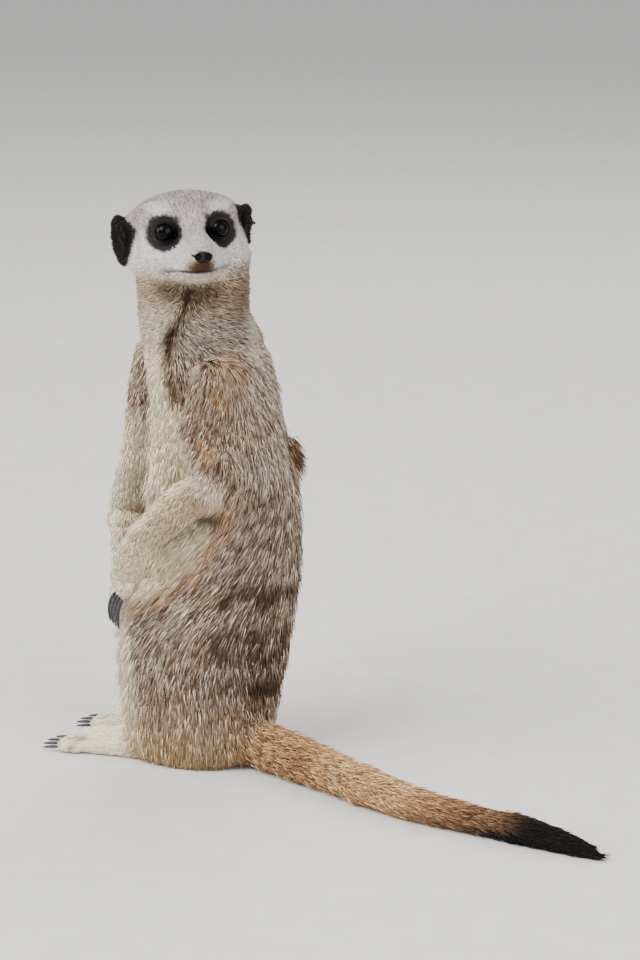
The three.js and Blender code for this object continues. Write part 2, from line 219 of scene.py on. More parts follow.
@dataclass
class HeadAxes:
    """The head's own axes: ahead through the nose, left and up, from a point between the eyes.

    eye_depth and eye_drop are how far the eyes' middles lie behind and below that point, and gaze how far
    each eye turns outward.
    """

    eye_depth: float = 4.2 * MM
    eye_drop: float = 1.0 * MM
    gaze_turn: float = 13.0
    gaze_rise: float = 4.0
    eyes: dict[Side, np.ndarray] = field(init=False)
    left: np.ndarray = field(init=False)
    ahead: np.ndarray = field(init=False)
    up: np.ndarray = field(init=False)
    origin: np.ndarray = field(init=False)

    def __post_init__(self) -> None:
        """Works the axes out from the two eye nodes."""
        self.eyes = {side: centre(f"{side.value}_eye") for side in Side}
        self.left = unit(self.eyes[Side.LEFT] - self.eyes[Side.RIGHT])
        self.ahead = unit(np.cross(self.left, UP))
        self.up = np.cross(self.ahead, self.left)
        between = (self.eyes[Side.LEFT] + self.eyes[Side.RIGHT]) / 2
        self.origin = between + self.ahead * self.eye_depth + self.up * self.eye_drop

    def local(self, points: np.ndarray) -> np.ndarray:
        """Points as (ahead, left, up) in millimetres from the origin."""
        return (points - self.origin) @ np.stack([self.ahead, self.left, self.up], axis=1) / MM

    def world(self, local: np.ndarray) -> np.ndarray:
        """The opposite of local."""
        return self.origin + local * MM @ np.stack([self.ahead, self.left, self.up])

    def gaze(self, side: Side) -> np.ndarray:
        """The way that an eye looks, in the head's axes."""
        turn, rise = radians(self.gaze_turn) * side.sign, radians(self.gaze_rise)
        return np.array([cos(turn) * cos(rise), sin(turn) * cos(rise), sin(rise)])

    def eye_axes(self, side: Side) -> tuple[np.ndarray, list[np.ndarray]]:
        """An eye's middle, and its ways outward, up and ahead, all in the head's axes.

        Args:
            side: the animal's side.
        Returns:
            The middle and the three ways.
        """
        gaze = self.gaze(side)
        rise = unit(UP - gaze * gaze[2])
        return self.local(self.eyes[side][None])[0], [np.cross(rise, gaze) * side.sign, rise, gaze]


class Graph:
    """The edges of a mesh, for averages over neighbouring vertices."""

    def __init__(self, mesh: bpy.types.Mesh) -> None:
        """Reads the edges once."""
        ends = np.empty(len(mesh.edges) * 2, dtype=np.int64)
        mesh.edges.foreach_get("vertices", ends)
        pairs = ends.reshape(-1, 2)
        self.near = np.concatenate([pairs[:, 0], pairs[:, 1]])
        self.far = np.concatenate([pairs[:, 1], pairs[:, 0]])
        self.size = len(mesh.vertices)
        self.degree = np.maximum(np.bincount(self.near, minlength=self.size), 1)

    def mean(self, values: np.ndarray) -> np.ndarray:
        """Each vertex's neighbours' mean of a table with one row a vertex.

        Args:
            values: the table.
        Returns:
            A table of the same size.
        """
        sums = [np.bincount(self.near, weights=values[self.far, c], minlength=self.size)
                for c in range(values.shape[1])]
        return np.stack(sums, axis=1) / self.degree[:, None]

    def spread(self, values: np.ndarray, rounds: int, share: float | np.ndarray = 0.5) -> np.ndarray:
        """The values after some rounds of moving by a share towards the neighbours' mean.

        Args:
            values: a table with one row a vertex.
            rounds: how often they move.
            share: how far, for all or for each vertex.
        Returns:
            The new table.
        """
        for _ in range(rounds):
            values = values + share * (self.mean(values) - values)
        return values


@dataclass
class Face:
    """The forms of the face, in millimetres in the head's axes (ahead, left, up)."""

    eye_radius: float = 5.3
    opening: Span = (4.35, 4.25)
    lid: float = 0.5
    lid_ring: Span = (0.86, 1.04)
    lid_reach: Span = (2.0, 1.15)
    inside: float = 1.4
    corner: float = 0.17
    corner_turn: float = 14.0
    corner_way: Span = (0.80, 1.0)
    fold: tuple[float, float, float] = (1.5, 0.4, 0.13)
    fold_rise: Span = (1, -3)
    nostril: tuple[float, float] = (2.2, 1.45)
    nostril_height: float = -9.0
    nostril_depth: float = 1.8
    nostril_blur: Span = (1.5, 0.4)
    nostril_ahead: Span = (20, 22)
    mouth_height: float = -17.4
    mouth_width: float = 13.5
    mouth_rise: float = -0.9
    mouth_depth: float = 1.2
    mouth_blur: Span = (1.6, 0.3)
    mouth_ends: Span = (1.5, -2)
    mouth_ahead: Span = (0, 3)
    philtrum: Span = (0.9, 0.1)
    philtrum_ahead: Span = (19, 21)
    philtrum_rise: Window = (-18, -16, -11, -9.5)
    philtrum_depth: float = 0.6
    temple_depth: float = 2.2
    temple_side: Span = (22, 26)
    temple_ahead: Window = (-26, -21, -5, -1)
    temple_rise: Window = (-17, -13, 5, 9)

    def eye_plane(self, axes: HeadAxes, side: Side, local: np.ndarray) -> np.ndarray:
        """Points as (outward, up, ahead) in an eye's own axes, from its middle.

        Args:
            axes: the head's axes.
            side: the animal's side.
            local: points in the head's axes.
        Returns:
            A row of three millimetres for each point.
        """
        middle, ways = axes.eye_axes(side)
        return (local - middle) @ np.stack(ways, axis=1)

    def ring(self, plane: np.ndarray) -> np.ndarray:
        """How far points in an eye's axes are from its middle, with the edge of the lids at 1 and its corner
        towards the nose drawn out."""
        ring = np.hypot(plane[:, 0] / self.opening[0], plane[:, 1] / self.opening[1])
        turn = radians(self.corner_turn)
        inwards = (-plane[:, 0] * cos(turn) - plane[:, 1] * sin(turn)) / np.hypot(plane[:, 0], plane[:, 1])
        return ring * (1 - self.corner * ease(inwards, *self.corner_way))

    def mouth_gap(self, local: np.ndarray) -> np.ndarray:
        """Height above the line of the mouth."""
        return local[:, 2] - self.mouth_height - self.mouth_rise * (local[:, 1] / self.mouth_width) ** 2

    def mouth_share(self, local: np.ndarray) -> np.ndarray:
        """1 on the line of the mouth, 0 away from it.

        Args:
            local: points in the head's axes.
        Returns:
            A share for each point.
        """
        band = ease(np.abs(self.mouth_gap(local)), *self.mouth_blur)
        ends = ease(np.abs(local[:, 1]), *[self.mouth_width + past for past in self.mouth_ends])
        return band * ends * ease(local[:, 0], *self.mouth_ahead)


@dataclass(frozen=True)
class Split:
    """Where the faces of the skin are split in four: round the eyes up to `ring`, and on the muzzle from
    `ahead` on, within `side` of its middle and from `low` to `high`."""

    ring: float
    ahead: float
    side: float
    low: float
    high: float


@dataclass
class Skin:
    """One closed skin over all the flesh, inside the solids by the coat's depth.

    A limb's digits are drawn as grooves that start `behind` its claws and fade out over `reach`.
    """

    axes: HeadAxes
    face: Face
    voxel: float = 1.1 * MM
    swell: float = 0.35 * MM
    label_rounds: int = 24
    splits: tuple[Split, ...] = (Split(3.2, 4, 17, -24, 0), Split(2.0, 19, 8, -18, -5))
    smooth_least: float = 0.25
    smooth_gap: Span = (2, 10)
    smooth_back: float = 2.04
    crease: float = 0.8
    crease_gap: Span = (7, 2)
    fill: float = 2.0
    fill_gap: Span = (18, 7)
    muzzle: tuple[float, float, float] = (22, 0, -9.4)
    muzzle_gap: Span = (24, 5)
    sole: Span = (5 * MM, 1 * MM)
    sole_way: Span = (0.2, 0.8)
    depth_rounds: int = 8
    clearance: float = 0.1 * MM
    grooves_at: tuple[tuple[str, float, float], ...] = (("hand", 9 * MM, 7 * MM), ("foot", 6 * MM, 15 * MM))
    groove: float = 0.8
    toe_groove: float = 1.0
    obj: bpy.types.Object = field(init=False)
    graph: Graph = field(init=False)
    points: np.ndarray = field(init=False)
    normals: np.ndarray = field(init=False)
    weights: np.ndarray = field(init=False)
    grooves: np.ndarray = field(init=False)
    arm_gap: dict[Side, np.ndarray] = field(init=False)

    def build(self) -> bpy.types.Object:
        """Makes the skin and replaces the nodes of flesh.

        Returns:
            The skin's object, without a material.
        """
        raw, owner = self.gather()
        self.obj = self.remesh(raw)
        self.refine()
        self.label(raw, owner)
        bpy.data.meshes.remove(raw)
        self.shape()
        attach(self.obj, BODY)
        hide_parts(*[flesh.node for flesh in FLESH])
        return self.obj

    def gather(self) -> tuple[bpy.types.Mesh, np.ndarray]:
        """Joins copies of the flesh nodes, swollen enough to close the cuts between them, and of the eyes,
        so that no socket is left.

        Returns:
            The joined mesh and, for each of its faces, the part it comes from.
        """
        whole = bmesh.new()
        owner: list[int] = []
        for index, flesh in enumerate(FLESH):
            part = finished("part", swollen(self.swell, flesh.node, *(EYES if flesh.node == "head" else ())))
            whole.from_mesh(part)
            bpy.data.meshes.remove(part)
            owner += [index] * (len(whole.faces) - len(owner))
        return finished("flesh", whole), np.array(owner)

    def remesh(self, raw: bpy.types.Mesh) -> bpy.types.Object:
        """One closed surface round the joined parts.

        Args:
            raw: their mesh, which stays.
        Returns:
            The skin's object.
        """
        rough = link("rough", raw)
        remesh = rough.modifiers.new("one_surface", "REMESH")
        remesh.mode = "VOXEL"
        remesh.voxel_size = self.voxel
        remesh.use_smooth_shade = True
        graph = bpy.context.evaluated_depsgraph_get()
        mesh = bpy.data.meshes.new_from_object(rough.evaluated_get(graph))
        bpy.data.objects.remove(rough)
        mesh.name = "skin"
        mesh.materials.clear()
        return link("skin", mesh)

    def refine(self) -> None:
        """Splits the faces of the muzzle, cheeks and eyes, where the skin shows most."""
        bm = bmesh.new()
        bm.from_mesh(self.obj.data)
        for split in self.splits:
            middles = self.axes.local(np.array([face.calc_center_median()[:] for face in bm.faces]))
            near = (middles[:, 0] > split.ahead) & (np.abs(middles[:, 1]) < split.side)
            near &= (middles[:, 2] < split.high) & (middles[:, 2] > split.low)
            for side in Side:
                plane = self.face.eye_plane(self.axes, side, middles)
                near |= (self.face.ring(plane) < split.ring) & (plane[:, 2] > 0)
            bm.faces.ensure_lookup_table()
            edges = {edge for index in np.flatnonzero(near) for edge in bm.faces[index].edges}
            bmesh.ops.subdivide_edges(bm, edges=list(edges), cuts=1, use_grid_fill=True)
            odd = [face for face in bm.faces if len(face.verts) > 4]
            bmesh.ops.triangulate(bm, faces=odd)
        bm.to_mesh(self.obj.data)
        bm.free()

    def label(self, raw: bpy.types.Mesh, owner: np.ndarray) -> None:
        """Gives every vertex a share in each part of the body, from the solid that lies nearest.

        Args:
            raw: the joined parts.
            owner: the part that each of their faces comes from.
        """
        raw_points = np.empty(len(raw.vertices) * 3)
        raw.vertices.foreach_get("co", raw_points)
        tree = BVHTree.FromPolygons(raw_points.reshape(-1, 3).tolist(),
                                    [face.vertices[:] for face in raw.polygons])
        self.read()
        nearest = np.array([tree.find_nearest(Vector(point))[2] for point in self.points])
        weights = np.zeros((len(self.points), len(FLESH)))
        weights[np.arange(len(self.points)), owner[nearest]] = 1.0
        self.graph = Graph(self.obj.data)
        self.weights = self.graph.spread(weights, self.label_rounds)

    def read(self) -> None:
        """Reads the vertices and normals out of the mesh."""
        mesh = self.obj.data
        mesh.update()
        self.points = np.empty(len(mesh.vertices) * 3)
        mesh.vertices.foreach_get("co", self.points)
        self.points = self.points.reshape(-1, 3)
        self.normals = np.empty(len(mesh.vertices) * 3)
        mesh.vertex_normals.foreach_get("vector", self.normals)
        self.normals = self.normals.reshape(-1, 3)

    def write(self) -> None:
        """Writes the vertices back and reads the new normals."""
        self.obj.data.vertices.foreach_set("co", self.points.ravel())
        self.read()

    def gap(self, *nodes: str) -> np.ndarray:
        """How far every vertex lies from the nearest one of some parts, in millimetres.

        Args:
            nodes: the names of those parts.
        Returns:
            A distance for each vertex.
        """
        owner = np.argmax(self.weights, axis=1)
        theirs = np.flatnonzero(np.isin(owner, [PART[node] for node in nodes]))
        tree = KDTree(len(theirs))
        for index in theirs:
            tree.insert(self.points[index], index)
        tree.balance()
        return np.array([tree.find(point)[2] for point in self.points]) / MM

    def shape(self) -> None:
        """Smooths the surface, lays it under the coat and models the face and the digits."""
        arm = ("upper_arm", "forearm", "hand")
        self.arm_gap = {side: self.gap(*[f"{side.value}_{part}" for part in arm]) for side in Side}
        nearest = np.minimum(*self.arm_gap.values())
        paws = sum(self.weights[:, PART[f"{side.value}_{paw}"]] for side in Side for paw in ("hand", "foot"))
        spared = self.smooth_least + (1 - self.smooth_least) * ease(nearest, *self.smooth_gap)
        rounds = self.weights @ column("rounds") * spared
        for turn in range(int(column("rounds").max())):
            share = np.clip(rounds - turn, 0, 1) * 0.5
            share = np.where(turn % 2 == 1, share * (1 - self.smooth_back * paws), share)
            self.points = self.points + share[:, None] * (self.graph.mean(self.points) - self.points)
        self.write()
        depth = self.weights @ column("depth")
        trunk = sum(self.weights[:, PART[node]] for node in ("chest", "belly", "rump", "left_thigh"))
        beside_hand = ease(self.gap("left_hand", "right_hand"), *self.fill_gap)
        crease = self.crease * ease(nearest, *self.crease_gap) * (1 - beside_hand)
        depth += trunk * (crease - self.fill * beside_hand)
        muzzle = np.linalg.norm(self.axes.local(self.points) - np.array(self.muzzle), axis=1)
        head = self.weights[:, PART["head"]] + self.weights[:, PART["nose"]]
        depth *= 1 - head * ease(muzzle, *self.muzzle_gap)
        sole = ease(self.points[:, 2], *self.sole) * ease(-self.normals[:, 2], *self.sole_way)
        feet = self.weights[:, PART["left_foot"]] + self.weights[:, PART["right_foot"]]
        self.sink(self.graph.spread((depth * (1 - 0.8 * sole * feet))[:, None], self.depth_rounds)[:, 0])
        self.points = self.graph.spread(self.points, 2, 0.4)
        self.write()
        self.grooves = self.digits()
        self.sink(self.grooves * (self.groove + self.toe_groove * feet))
        self.model_face()

    def sink(self, depths: np.ndarray) -> None:
        """Moves the skin inwards by these millimetres."""
        self.points = self.points - self.normals * depths[:, None] * MM
        self.points[:, 2] = np.maximum(self.points[:, 2], self.clearance)
        self.write()

    def digits(self) -> np.ndarray:
        """1 in the grooves between the fingers and between the toes, 0 away from them.

        Returns:
            A share for each vertex.
        """
        total = np.zeros(len(self.points))
        for side in Side:
            for limb, behind, reach in self.grooves_at:
                claws = np.array([centre(f"{side.value}_{limb}_claw_{digit}") for digit in DIGITS])
                across_way = unit(claws[3] - claws[0])
                ahead = claws.mean(axis=0) - centre(f"{side.value}_{limb}")
                ahead = unit(ahead - across_way * (ahead @ across_way))
                out = self.points - claws.mean(axis=0)
                place = out @ across_way / (np.linalg.norm(claws[3] - claws[0]) / 3)
                between = ease(np.cos(2 * np.pi * place), 0.35, 1.0) * (np.abs(place) < 1.5)
                along = ease(out @ ahead, -behind - reach, -behind)
                total += between * along * self.weights[:, PART[f"{side.value}_{limb}"]]
        return np.clip(total, 0, 1)

    def model_face(self) -> None:
        """Models the lids, nostrils and mouth on the head."""
        face = self.face
        local = self.axes.local(self.points)
        for side in Side:
            local = self.lids(side, local)
        nostril_side, radius = face.nostril
        ahead, side, rise = local.T
        for nostril in Side:
            near = np.hypot(side - nostril_side * nostril.sign, (rise - face.nostril_height) * 1.1)
            share = ease(near, *[radius * blur for blur in face.nostril_blur])
            ahead -= share * ease(ahead, *face.nostril_ahead) * face.nostril_depth
        ahead -= face.mouth_share(local) * face.mouth_depth
        philtrum = ease(np.abs(side), *face.philtrum) * ease(ahead, *face.philtrum_ahead)
        ahead -= philtrum * window(rise, *face.philtrum_rise) * face.philtrum_depth
        temple = ease(np.abs(side), *face.temple_side) * window(ahead, *face.temple_ahead)
        temple *= window(rise, *face.temple_rise)
        self.points = self.axes.world(local)
        self.write()
        self.sink(face.temple_depth * temple)

    def lids(self, side: Side, local: np.ndarray) -> np.ndarray:
        """Sinks the skin inside an eye's opening and lays the lids on the eyeball round it.

        Args:
            side: the animal's side.
            local: the skin's points in the head's axes.
        Returns:
            The points with that eye's lids.
        """
        face = self.face
        plane = face.eye_plane(self.axes, side, local)
        ring = face.ring(plane)
        flat = np.hypot(plane[:, 0], plane[:, 1])
        inner = np.sqrt(np.maximum(face.eye_radius ** 2 - flat ** 2, 0.01)) - face.inside
        outer = np.sqrt(np.maximum((face.eye_radius + face.lid) ** 2 - flat ** 2, 0.01))
        on_lid = ease(ring, *face.lid_ring)
        share = ease(ring, *face.lid_reach) * (plane[:, 2] > -1)
        plane[:, 2] += share * (outer * on_lid + inner * (1 - on_lid) - plane[:, 2])
        place, depth, wide = face.fold
        below = ease(plane[:, 1] - plane[:, 0] * 0.4, *face.fold_rise) * (plane[:, 2] > -1)
        plane[:, 2] -= below * depth * np.exp(-((ring - place) / wide) ** 2)
        middle, ways = self.axes.eye_axes(side)
        return middle + plane @ np.stack(ways)


# The seventh name is painted shade, which also darkens some brown marks.
SHARES = ("pale", "warm", "dark", "black", "cool", "gold", "painted_shade_and_brown", "slate")


class Shares:
    """Eight shares for every vertex of the skin: how pale, warm, dark and black its coat is, and how cool,
    golden, shaded and slate. The seventh share is painted shade in creases, recesses and under the arm and
    chin, and it also darkens some brown marks. Amounts are given by those names."""

    def __init__(self, count: int) -> None:
        """Starts every share at 0."""
        self.columns = {name: np.zeros(count) for name in SHARES}

    def add(self, where: np.ndarray, **amounts: float) -> None:
        """Adds to shares, as far as `where` says."""
        for name, amount in amounts.items():
            self.columns[name] += amount * where

    def fade(self, where: np.ndarray, **amounts: float) -> None:
        """Takes these parts of shares away, as far as `where` says."""
        for name, amount in amounts.items():
            self.columns[name] *= 1 - amount * where

    def cover(self, where: np.ndarray, **amounts: float) -> None:
        """Raises shares that lie lower to these amounts, as far as `where` says."""
        for name, amount in amounts.items():
            self.columns[name] = np.maximum(self.columns[name], amount * where)

    def table(self) -> np.ndarray:
        """A row of eight for every vertex, kept between 0 and 1."""
        return np.clip(np.stack(list(self.columns.values()), axis=1), 0, 1)


@dataclass(frozen=True)
class Line:
    """A line drawn on the animal from the front of the model, through points (Y, Z) in millimetres, and what
    it adds to the shares."""

    points: tuple[tuple[float, float], ...]
    wide: float
    strength: float = 1.0
    adds: dict[str, float] = field(default_factory=dict)

    def share(self, points: np.ndarray) -> np.ndarray:
        """1 on the line, 0 from `wide` away, for points in millimetres.

        Args:
            points: rows of X, Y and Z.
        Returns:
            A share for each point.
        """
        place = points[:, 1:3]
        gap = np.full(len(place), np.inf)
        corners = np.array(self.points)
        for first, last in zip(corners[:-1], corners[1:]):
            way = last - first
            along = np.clip((place - first) @ way / (way @ way), 0, 1)
            gap = np.minimum(gap, np.linalg.norm(place - first - along[:, None] * way, axis=1))
        return self.strength * ease(gap, self.wide, 0)


# The crease down the far side of the neck: sunk into the skin and darkened with painted shade; its lower
# part also adds golden-brown hair.
NECK_CREASE = (Line(((-10.7, 241), (-12.3, 233), (-15.2, 227), (-18, 222)), 2.2, 0.7),
               Line(((-18, 222), (-19.9, 215), (-20, 210), (-19.7, 200), (-18.5, 195), (-17, 188)), 3.6, 0.9,
                    {"warm": 0.5, "gold": 0.6}))
# The fold at the shoulder: sunk into the skin and darkened with painted shade.
SHOULDER_FOLD = Line(((-11, 207.5), (-4.5, 209.7), (1.8, 209), (7, 207.7), (11, 205.5)), 3.0, 0.6,
                     {"dark": 0.3, "painted_shade_and_brown": 0.35})
NECK_CREASE_DEPTH = 1.2
SHOULDER_FOLD_DEPTH = 0.7
NAPE = Line(((11.6, 236), (11, 231), (9.6, 225)), 5.0, 0.35, {"warm": 0.9, "painted_shade_and_brown": 0.5})
NAPE_EDGE = Line(((16, 222), (17, 214), (16, 208)), 5.0, 0.5, {"pale": 1.0})
# Painted shadow on the throat just under the chin.
CHIN_SHADOW = Line(((-19, 241), (-4, 241)), 10.0, 0.8)
# Painted shade in a crease between the toes.
TOE_CREASE_SHADE = Line(((-71.9, 3), (-69, 7.2), (-64, 8.8)), 1.6, 0.8)
# Painted shadow in the crook between the near forearm and the belly.
CROOK_SHADOW = Line(((3, 131), (-6, 131.5), (-14, 128.5), (-21, 122)), 6.0, 0.9)
RUSTY = {"warm": 0.55}
RUST = (Line(((2, 207), (8, 205), (12, 200)), 7, 0.55, RUSTY), Line(((1.5, 197), (4, 190)), 4.5, 0.9, RUSTY),
        Line(((-2.5, 184), (-1, 181)), 4, 0.5, RUSTY), Line(((-5, 172), (0, 164)), 5, 0.9, RUSTY),
        Line(((12, 174), (13, 171)), 5, 0.3, RUSTY))


@dataclass(frozen=True)
class Oval:
    """A soft oval on the front of the head: its middle and half axes in millimetres, sideways and up, and
    how many half axes out it ends and is full."""

    side: float
    rise: float
    wide: float
    high: float
    blur: Span

    def share(self, side: np.ndarray, rise: np.ndarray) -> np.ndarray:
        """1 inside the oval, 0 outside."""
        return ease(np.hypot((side - self.side) / self.wide, (rise - self.rise) / self.high), *self.blur)


@dataclass(frozen=True)
class HeadMarks:
    """Where the head's markings lie, in millimetres in its own axes. A side is a distance from its middle
    plane. patch and spike lie in an eye's own axes, outward and up from its middle."""

    crown: Span = (3, 11)
    chin: Span = (-18, -21)
    cheek: Window = (-23, -17, -5, 2)
    cheek_side: Span = (4, 9)
    brow: Oval = Oval(14.5, 8.4, 6.2, 2.5, (1.25, 0.4))
    brow_back: float = -16
    bridge: Span = (4, -4)
    bridge_side: Span = (6, 3)
    outside: Window = (-9, -3, 5, 10)
    outside_side: Span = (17, 20.5)
    lips: Oval = Oval(0, -14.4, 7.6, 4.0, (1.1, 0.5))
    lips_ahead: Span = (14, 17)
    lips_gap: Span = (-0.8, 0.3)
    lips_middle: Span = (5.5, 2.5)
    mouth_side: Span = (11, 7)
    corner: Oval = Oval(12.5, -17.7, 4.2, 2.8, (1.0, 0.238))
    leather: Oval = Oval(0, -9.4, 4.3, 2.9, (1.1, 0.9))
    leather_ahead: Span = (19.5, 21.5)
    nostril: Oval = Oval(2.2, -9.0, 1.45, 1.45, (1.15, 0.8))
    slit: Oval = Oval(3.5, -8.7, 1.5, 0.5, (1.3, 0.8))
    nostril_back: float = 20
    patch: Oval = Oval(-0.1, -0.9, 1, 1, (9.0, 8.0))
    patch_black: float = 0.975
    patch_ragged: float = 0.22
    spike: Oval = Oval(-6.0, 4.4, 1, 1, (2.8, 1.2))
    spike_black: float = 0.88
    spike_ragged: float = 0.2
    patch_back: float = -4
    lower_lid: float = 1.36
    lower_lid_blur: Span = (0.20, 0.06)
    lower_lid_back: float = -2
    # where painted shade lies on the lids round the eye's opening
    socket: Span = (1.42, 1.12)
    ear_ahead: Span = (-9, -10.5)
    ear_rise: Window = (-20, -18, 5.5, 8)
    ear_back: float = -40
    ear_share: Span = (0.55, 0.75)
    ear_blur: Span = (-0.5, 0.6)
    near_ear_edge: float = 22.8
    far_ear_edge: float = 23.2


@dataclass
class Markings:
    """The shares of the coat's colours for every point of the skin, from the animal's own shape.

    A Span runs from where a marking ends to where it is full, a Window from its start over where it is full
    to its end. They are heights or gaps in millimetres; a `way` is a part of a normal, a `front` is 1 on the
    middle of the chest and belly and -1 on the back, and the tail's are shares of its length. turns are
    heights and the way that the trunk faces there in degrees, pale_front heights, the middle of the pale
    front and how far it reaches to each side in degrees, and bars heights and how dark each bar is.
    """

    skin: Skin
    head_marks: HeadMarks = HeadMarks()
    turns: tuple[tuple[float, float], ...] = ((0, -17), (62, -17), (130, 8), (188, 33), (215, 62), (250, 90))
    pale_front: tuple[tuple[float, float, float], ...] = (
        (66, -17, 8), (77, -17, 18), (91, -12, 50), (104, -5, 68), (124, 3, 80), (142, 8, 95),
        (158, 20, 58), (177, 30, 33), (185, 33, 28), (192, 33, 22), (200, 25, 26), (210, 15, 37),
        (222, 8, 53), (233, 18, 62), (241, 26, 60))
    ragged: float = 3.0
    belly_blur: Span = (6, -6)
    belly_foot: Span = (60, 76)
    border_middle: float = 8
    border_gap: Span = (15, 3)
    border: Window = (70, 88, 128, 150)
    bars: tuple[tuple[float, float], ...] = (
        (47, 1.0), (63, 0.8), (72, 0.9), (93, 1.0), (107, 0.4), (120, 0.6), (131, 0.6), (141, 0.5))
    bar_thick: float = 3.4
    bar_blur: float = 2.0
    bar_front: Span = (0.05, -0.45)
    back_front: Span = (0.2, -0.8)
    back_top: Span = (140, 200)
    back_foot: Span = (118, 90)
    back_light: Window = (108, 124, 150, 172)
    haunch_front: Span = (0.2, -0.3)
    haunch_top: Span = (118, 96)
    blotch: Span = (0.4, 1.8)
    fringe_top: Span = (52, 8)
    knee_way: Span = (0.58, 0.82)
    knee_front: Span = (0.35, 0.6)
    knee: Window = (2, 12, 78, 92)
    # the way that the near arm's painted highlight faces, towards the key light
    above: tuple[float, float, float] = (0.0, -0.65, 0.76)
    highlight_way: Span = (0.45, 0.9)
    far_arm_top: Span = (176, 164)
    # the range of the far arm's painted highlight and shade, by how far the skin faces the animal's right
    highlight_side_way: Span = (0.1, 0.6)
    # the range by which the painted shadow in the crook leaves off surfaces that face the animal's left
    crook_shadow_way: Span = (0.6, 0.1)
    speckle: Span = (118, 142)
    collar: Window = (222, 238, 243, 249)
    collar_front: Span = (-0.2, 0.4)
    # how far from the near arm and how high the painted shadow under it reaches
    arm_shadow_gap: Span = (9, 1.5)
    arm_shadow_top: Span = (140, 129)
    heel: Span = (-66, -50)
    # how high painted shadow reaches on the feet above the floor
    toe_shadow_top: Span = (3.5, 0.5)
    tuft: tuple[float, float, float] = (-5, 34.0, 154.5)
    tuft_flat: tuple[float, float, float] = (1, 1, 0.6)
    tuft_gap: Span = (6.5, 2.5)
    tail_way: Span = (0.3, -0.6)
    tail_lean: float = 0.10
    tail_root: Span = (0.12, 0.0)
    tail_pale: Window = (0.04, 0.20, 0.32, 0.50)
    tail_red: Span = (0.30, 0.55)
    tail_brown: Span = (0.42, 0.60)
    tail_cold: Span = (0.48, 0.60)
    tail_gloom: Span = (0.38, 0.62)
    tail_black: Span = (0.62, 0.78)
    coarse_rounds: int = 40
    fine_rounds: int = 8
    seed: int = 4

    def facing(self, heights: np.ndarray) -> np.ndarray:
        """The way the trunk faces at these heights in millimetres.

        Args:
            heights: one for each vertex.
        Returns:
            Level unit rows.
        """
        steps, turns = zip(*self.turns)
        turn = np.radians(np.interp(heights, steps, turns))
        return np.stack([np.sin(turn), -np.cos(turn), np.zeros_like(turn)], axis=1)

    def spine(self, heights: np.ndarray) -> np.ndarray:
        """The trunk's middle at these heights in millimetres, through its nodes' middles."""
        middles = np.array([centre(node) for node in ("rump", "belly", "chest", "neck")]) / MM
        return np.stack([np.interp(heights, middles[:, 2], middles[:, axis]) for axis in range(3)], axis=1)

    def noise(self, rounds: int) -> np.ndarray:
        """A smooth random value for every vertex, with mean 0 and spread 1; more rounds make it coarser.

        Args:
            rounds: how often neighbours are averaged.
        Returns:
            A value for each vertex.
        """
        draw = np.random.default_rng(self.seed + rounds).normal(size=(len(self.skin.points), 1))
        smooth = self.skin.graph.spread(draw, rounds, 0.6)[:, 0]
        return (smooth - smooth.mean()) / smooth.std()

    def out(self) -> np.ndarray:
        """The level way out from the trunk's middle, in millimetres."""
        out = self.skin.points / MM - self.spine(self.skin.points[:, 2] / MM)
        out[:, 2] = 0
        return out

    def round_way(self) -> np.ndarray:
        """The level way round the trunk, towards the animal's left at its front."""
        return np.cross(UP, unit(self.out()))

    def front_edge(self) -> tuple[np.ndarray, np.ndarray]:
        """How far round the trunk each point is from the pale front's middle, in degrees, positive on the
        animal's left, and how far that front reaches there."""
        heights = self.skin.points[:, 2] / MM
        out = self.out()
        turn = np.degrees(np.arctan2(out[:, 0], -out[:, 1]))
        steps, middles, reaches = zip(*self.pale_front)
        off = turn - np.interp(heights, steps, middles)
        return (off + 180) % 360 - 180, np.interp(heights, steps, reaches)

    def share(self, *nodes: str) -> np.ndarray:
        """The summed shares of some parts."""
        return sum(self.skin.weights[:, PART[node]] for node in nodes)

    def pairs(self, part: str) -> np.ndarray:
        """The summed shares of a part on both sides."""
        return self.share(f"left_{part}", f"right_{part}")

    def drawn(self, line: Line) -> np.ndarray:
        """A line's share on the side of the body where it is drawn."""
        front = ease(self.skin.points[:, 0] / MM - self.spine(self.skin.points[:, 2] / MM)[:, 0], -4, 4)
        return line.share(self.skin.points / MM) * front * (1 - self.share("head", "nose"))

    def crease(self) -> np.ndarray:
        """1 on the crease down the far side of the neck."""
        return np.maximum(*[self.drawn(line) for line in NECK_CREASE])

    def leather(self) -> np.ndarray:
        """1 on the bare leather of the nose, 0 away from it."""
        ahead, side, rise = self.skin.axes.local(self.skin.points).T
        return self.head_marks.leather.share(side, rise) * ease(ahead, *self.head_marks.leather_ahead)

    def rough(self) -> np.ndarray:
        """1 on the rough tuft of the back, 0 away from it."""
        gap = (self.skin.points / MM - np.array(self.tuft)) * np.array(self.tuft_flat)
        return ease(np.linalg.norm(gap, axis=1), *self.tuft_gap)

    def kneecap(self) -> np.ndarray:
        """1 where the trunk and thighs face ahead as the knees do, at any height."""
        return ease(-self.skin.normals[:, 1], *self.knee_way) * ease(self.front, *self.knee_front)

    @cached_property
    def height(self) -> np.ndarray:
        """Heights above the floor in millimetres."""
        return self.skin.points[:, 2] / MM

    @cached_property
    def front(self) -> np.ndarray:
        """1 along the middle of the chest and belly, -1 along the back."""
        return np.sum(unit(self.out()) * self.facing(self.height), axis=1)

    @cached_property
    def trunk(self) -> np.ndarray:
        """1 on the chest, belly, rump and thighs."""
        return self.share("chest", "belly", "rump") + self.pairs("thigh")

    @cached_property
    def coarse(self) -> np.ndarray:
        """Noise in wide patches."""
        return self.noise(self.coarse_rounds)

    @cached_property
    def fine(self) -> np.ndarray:
        """Noise in small patches."""
        return self.noise(self.fine_rounds)

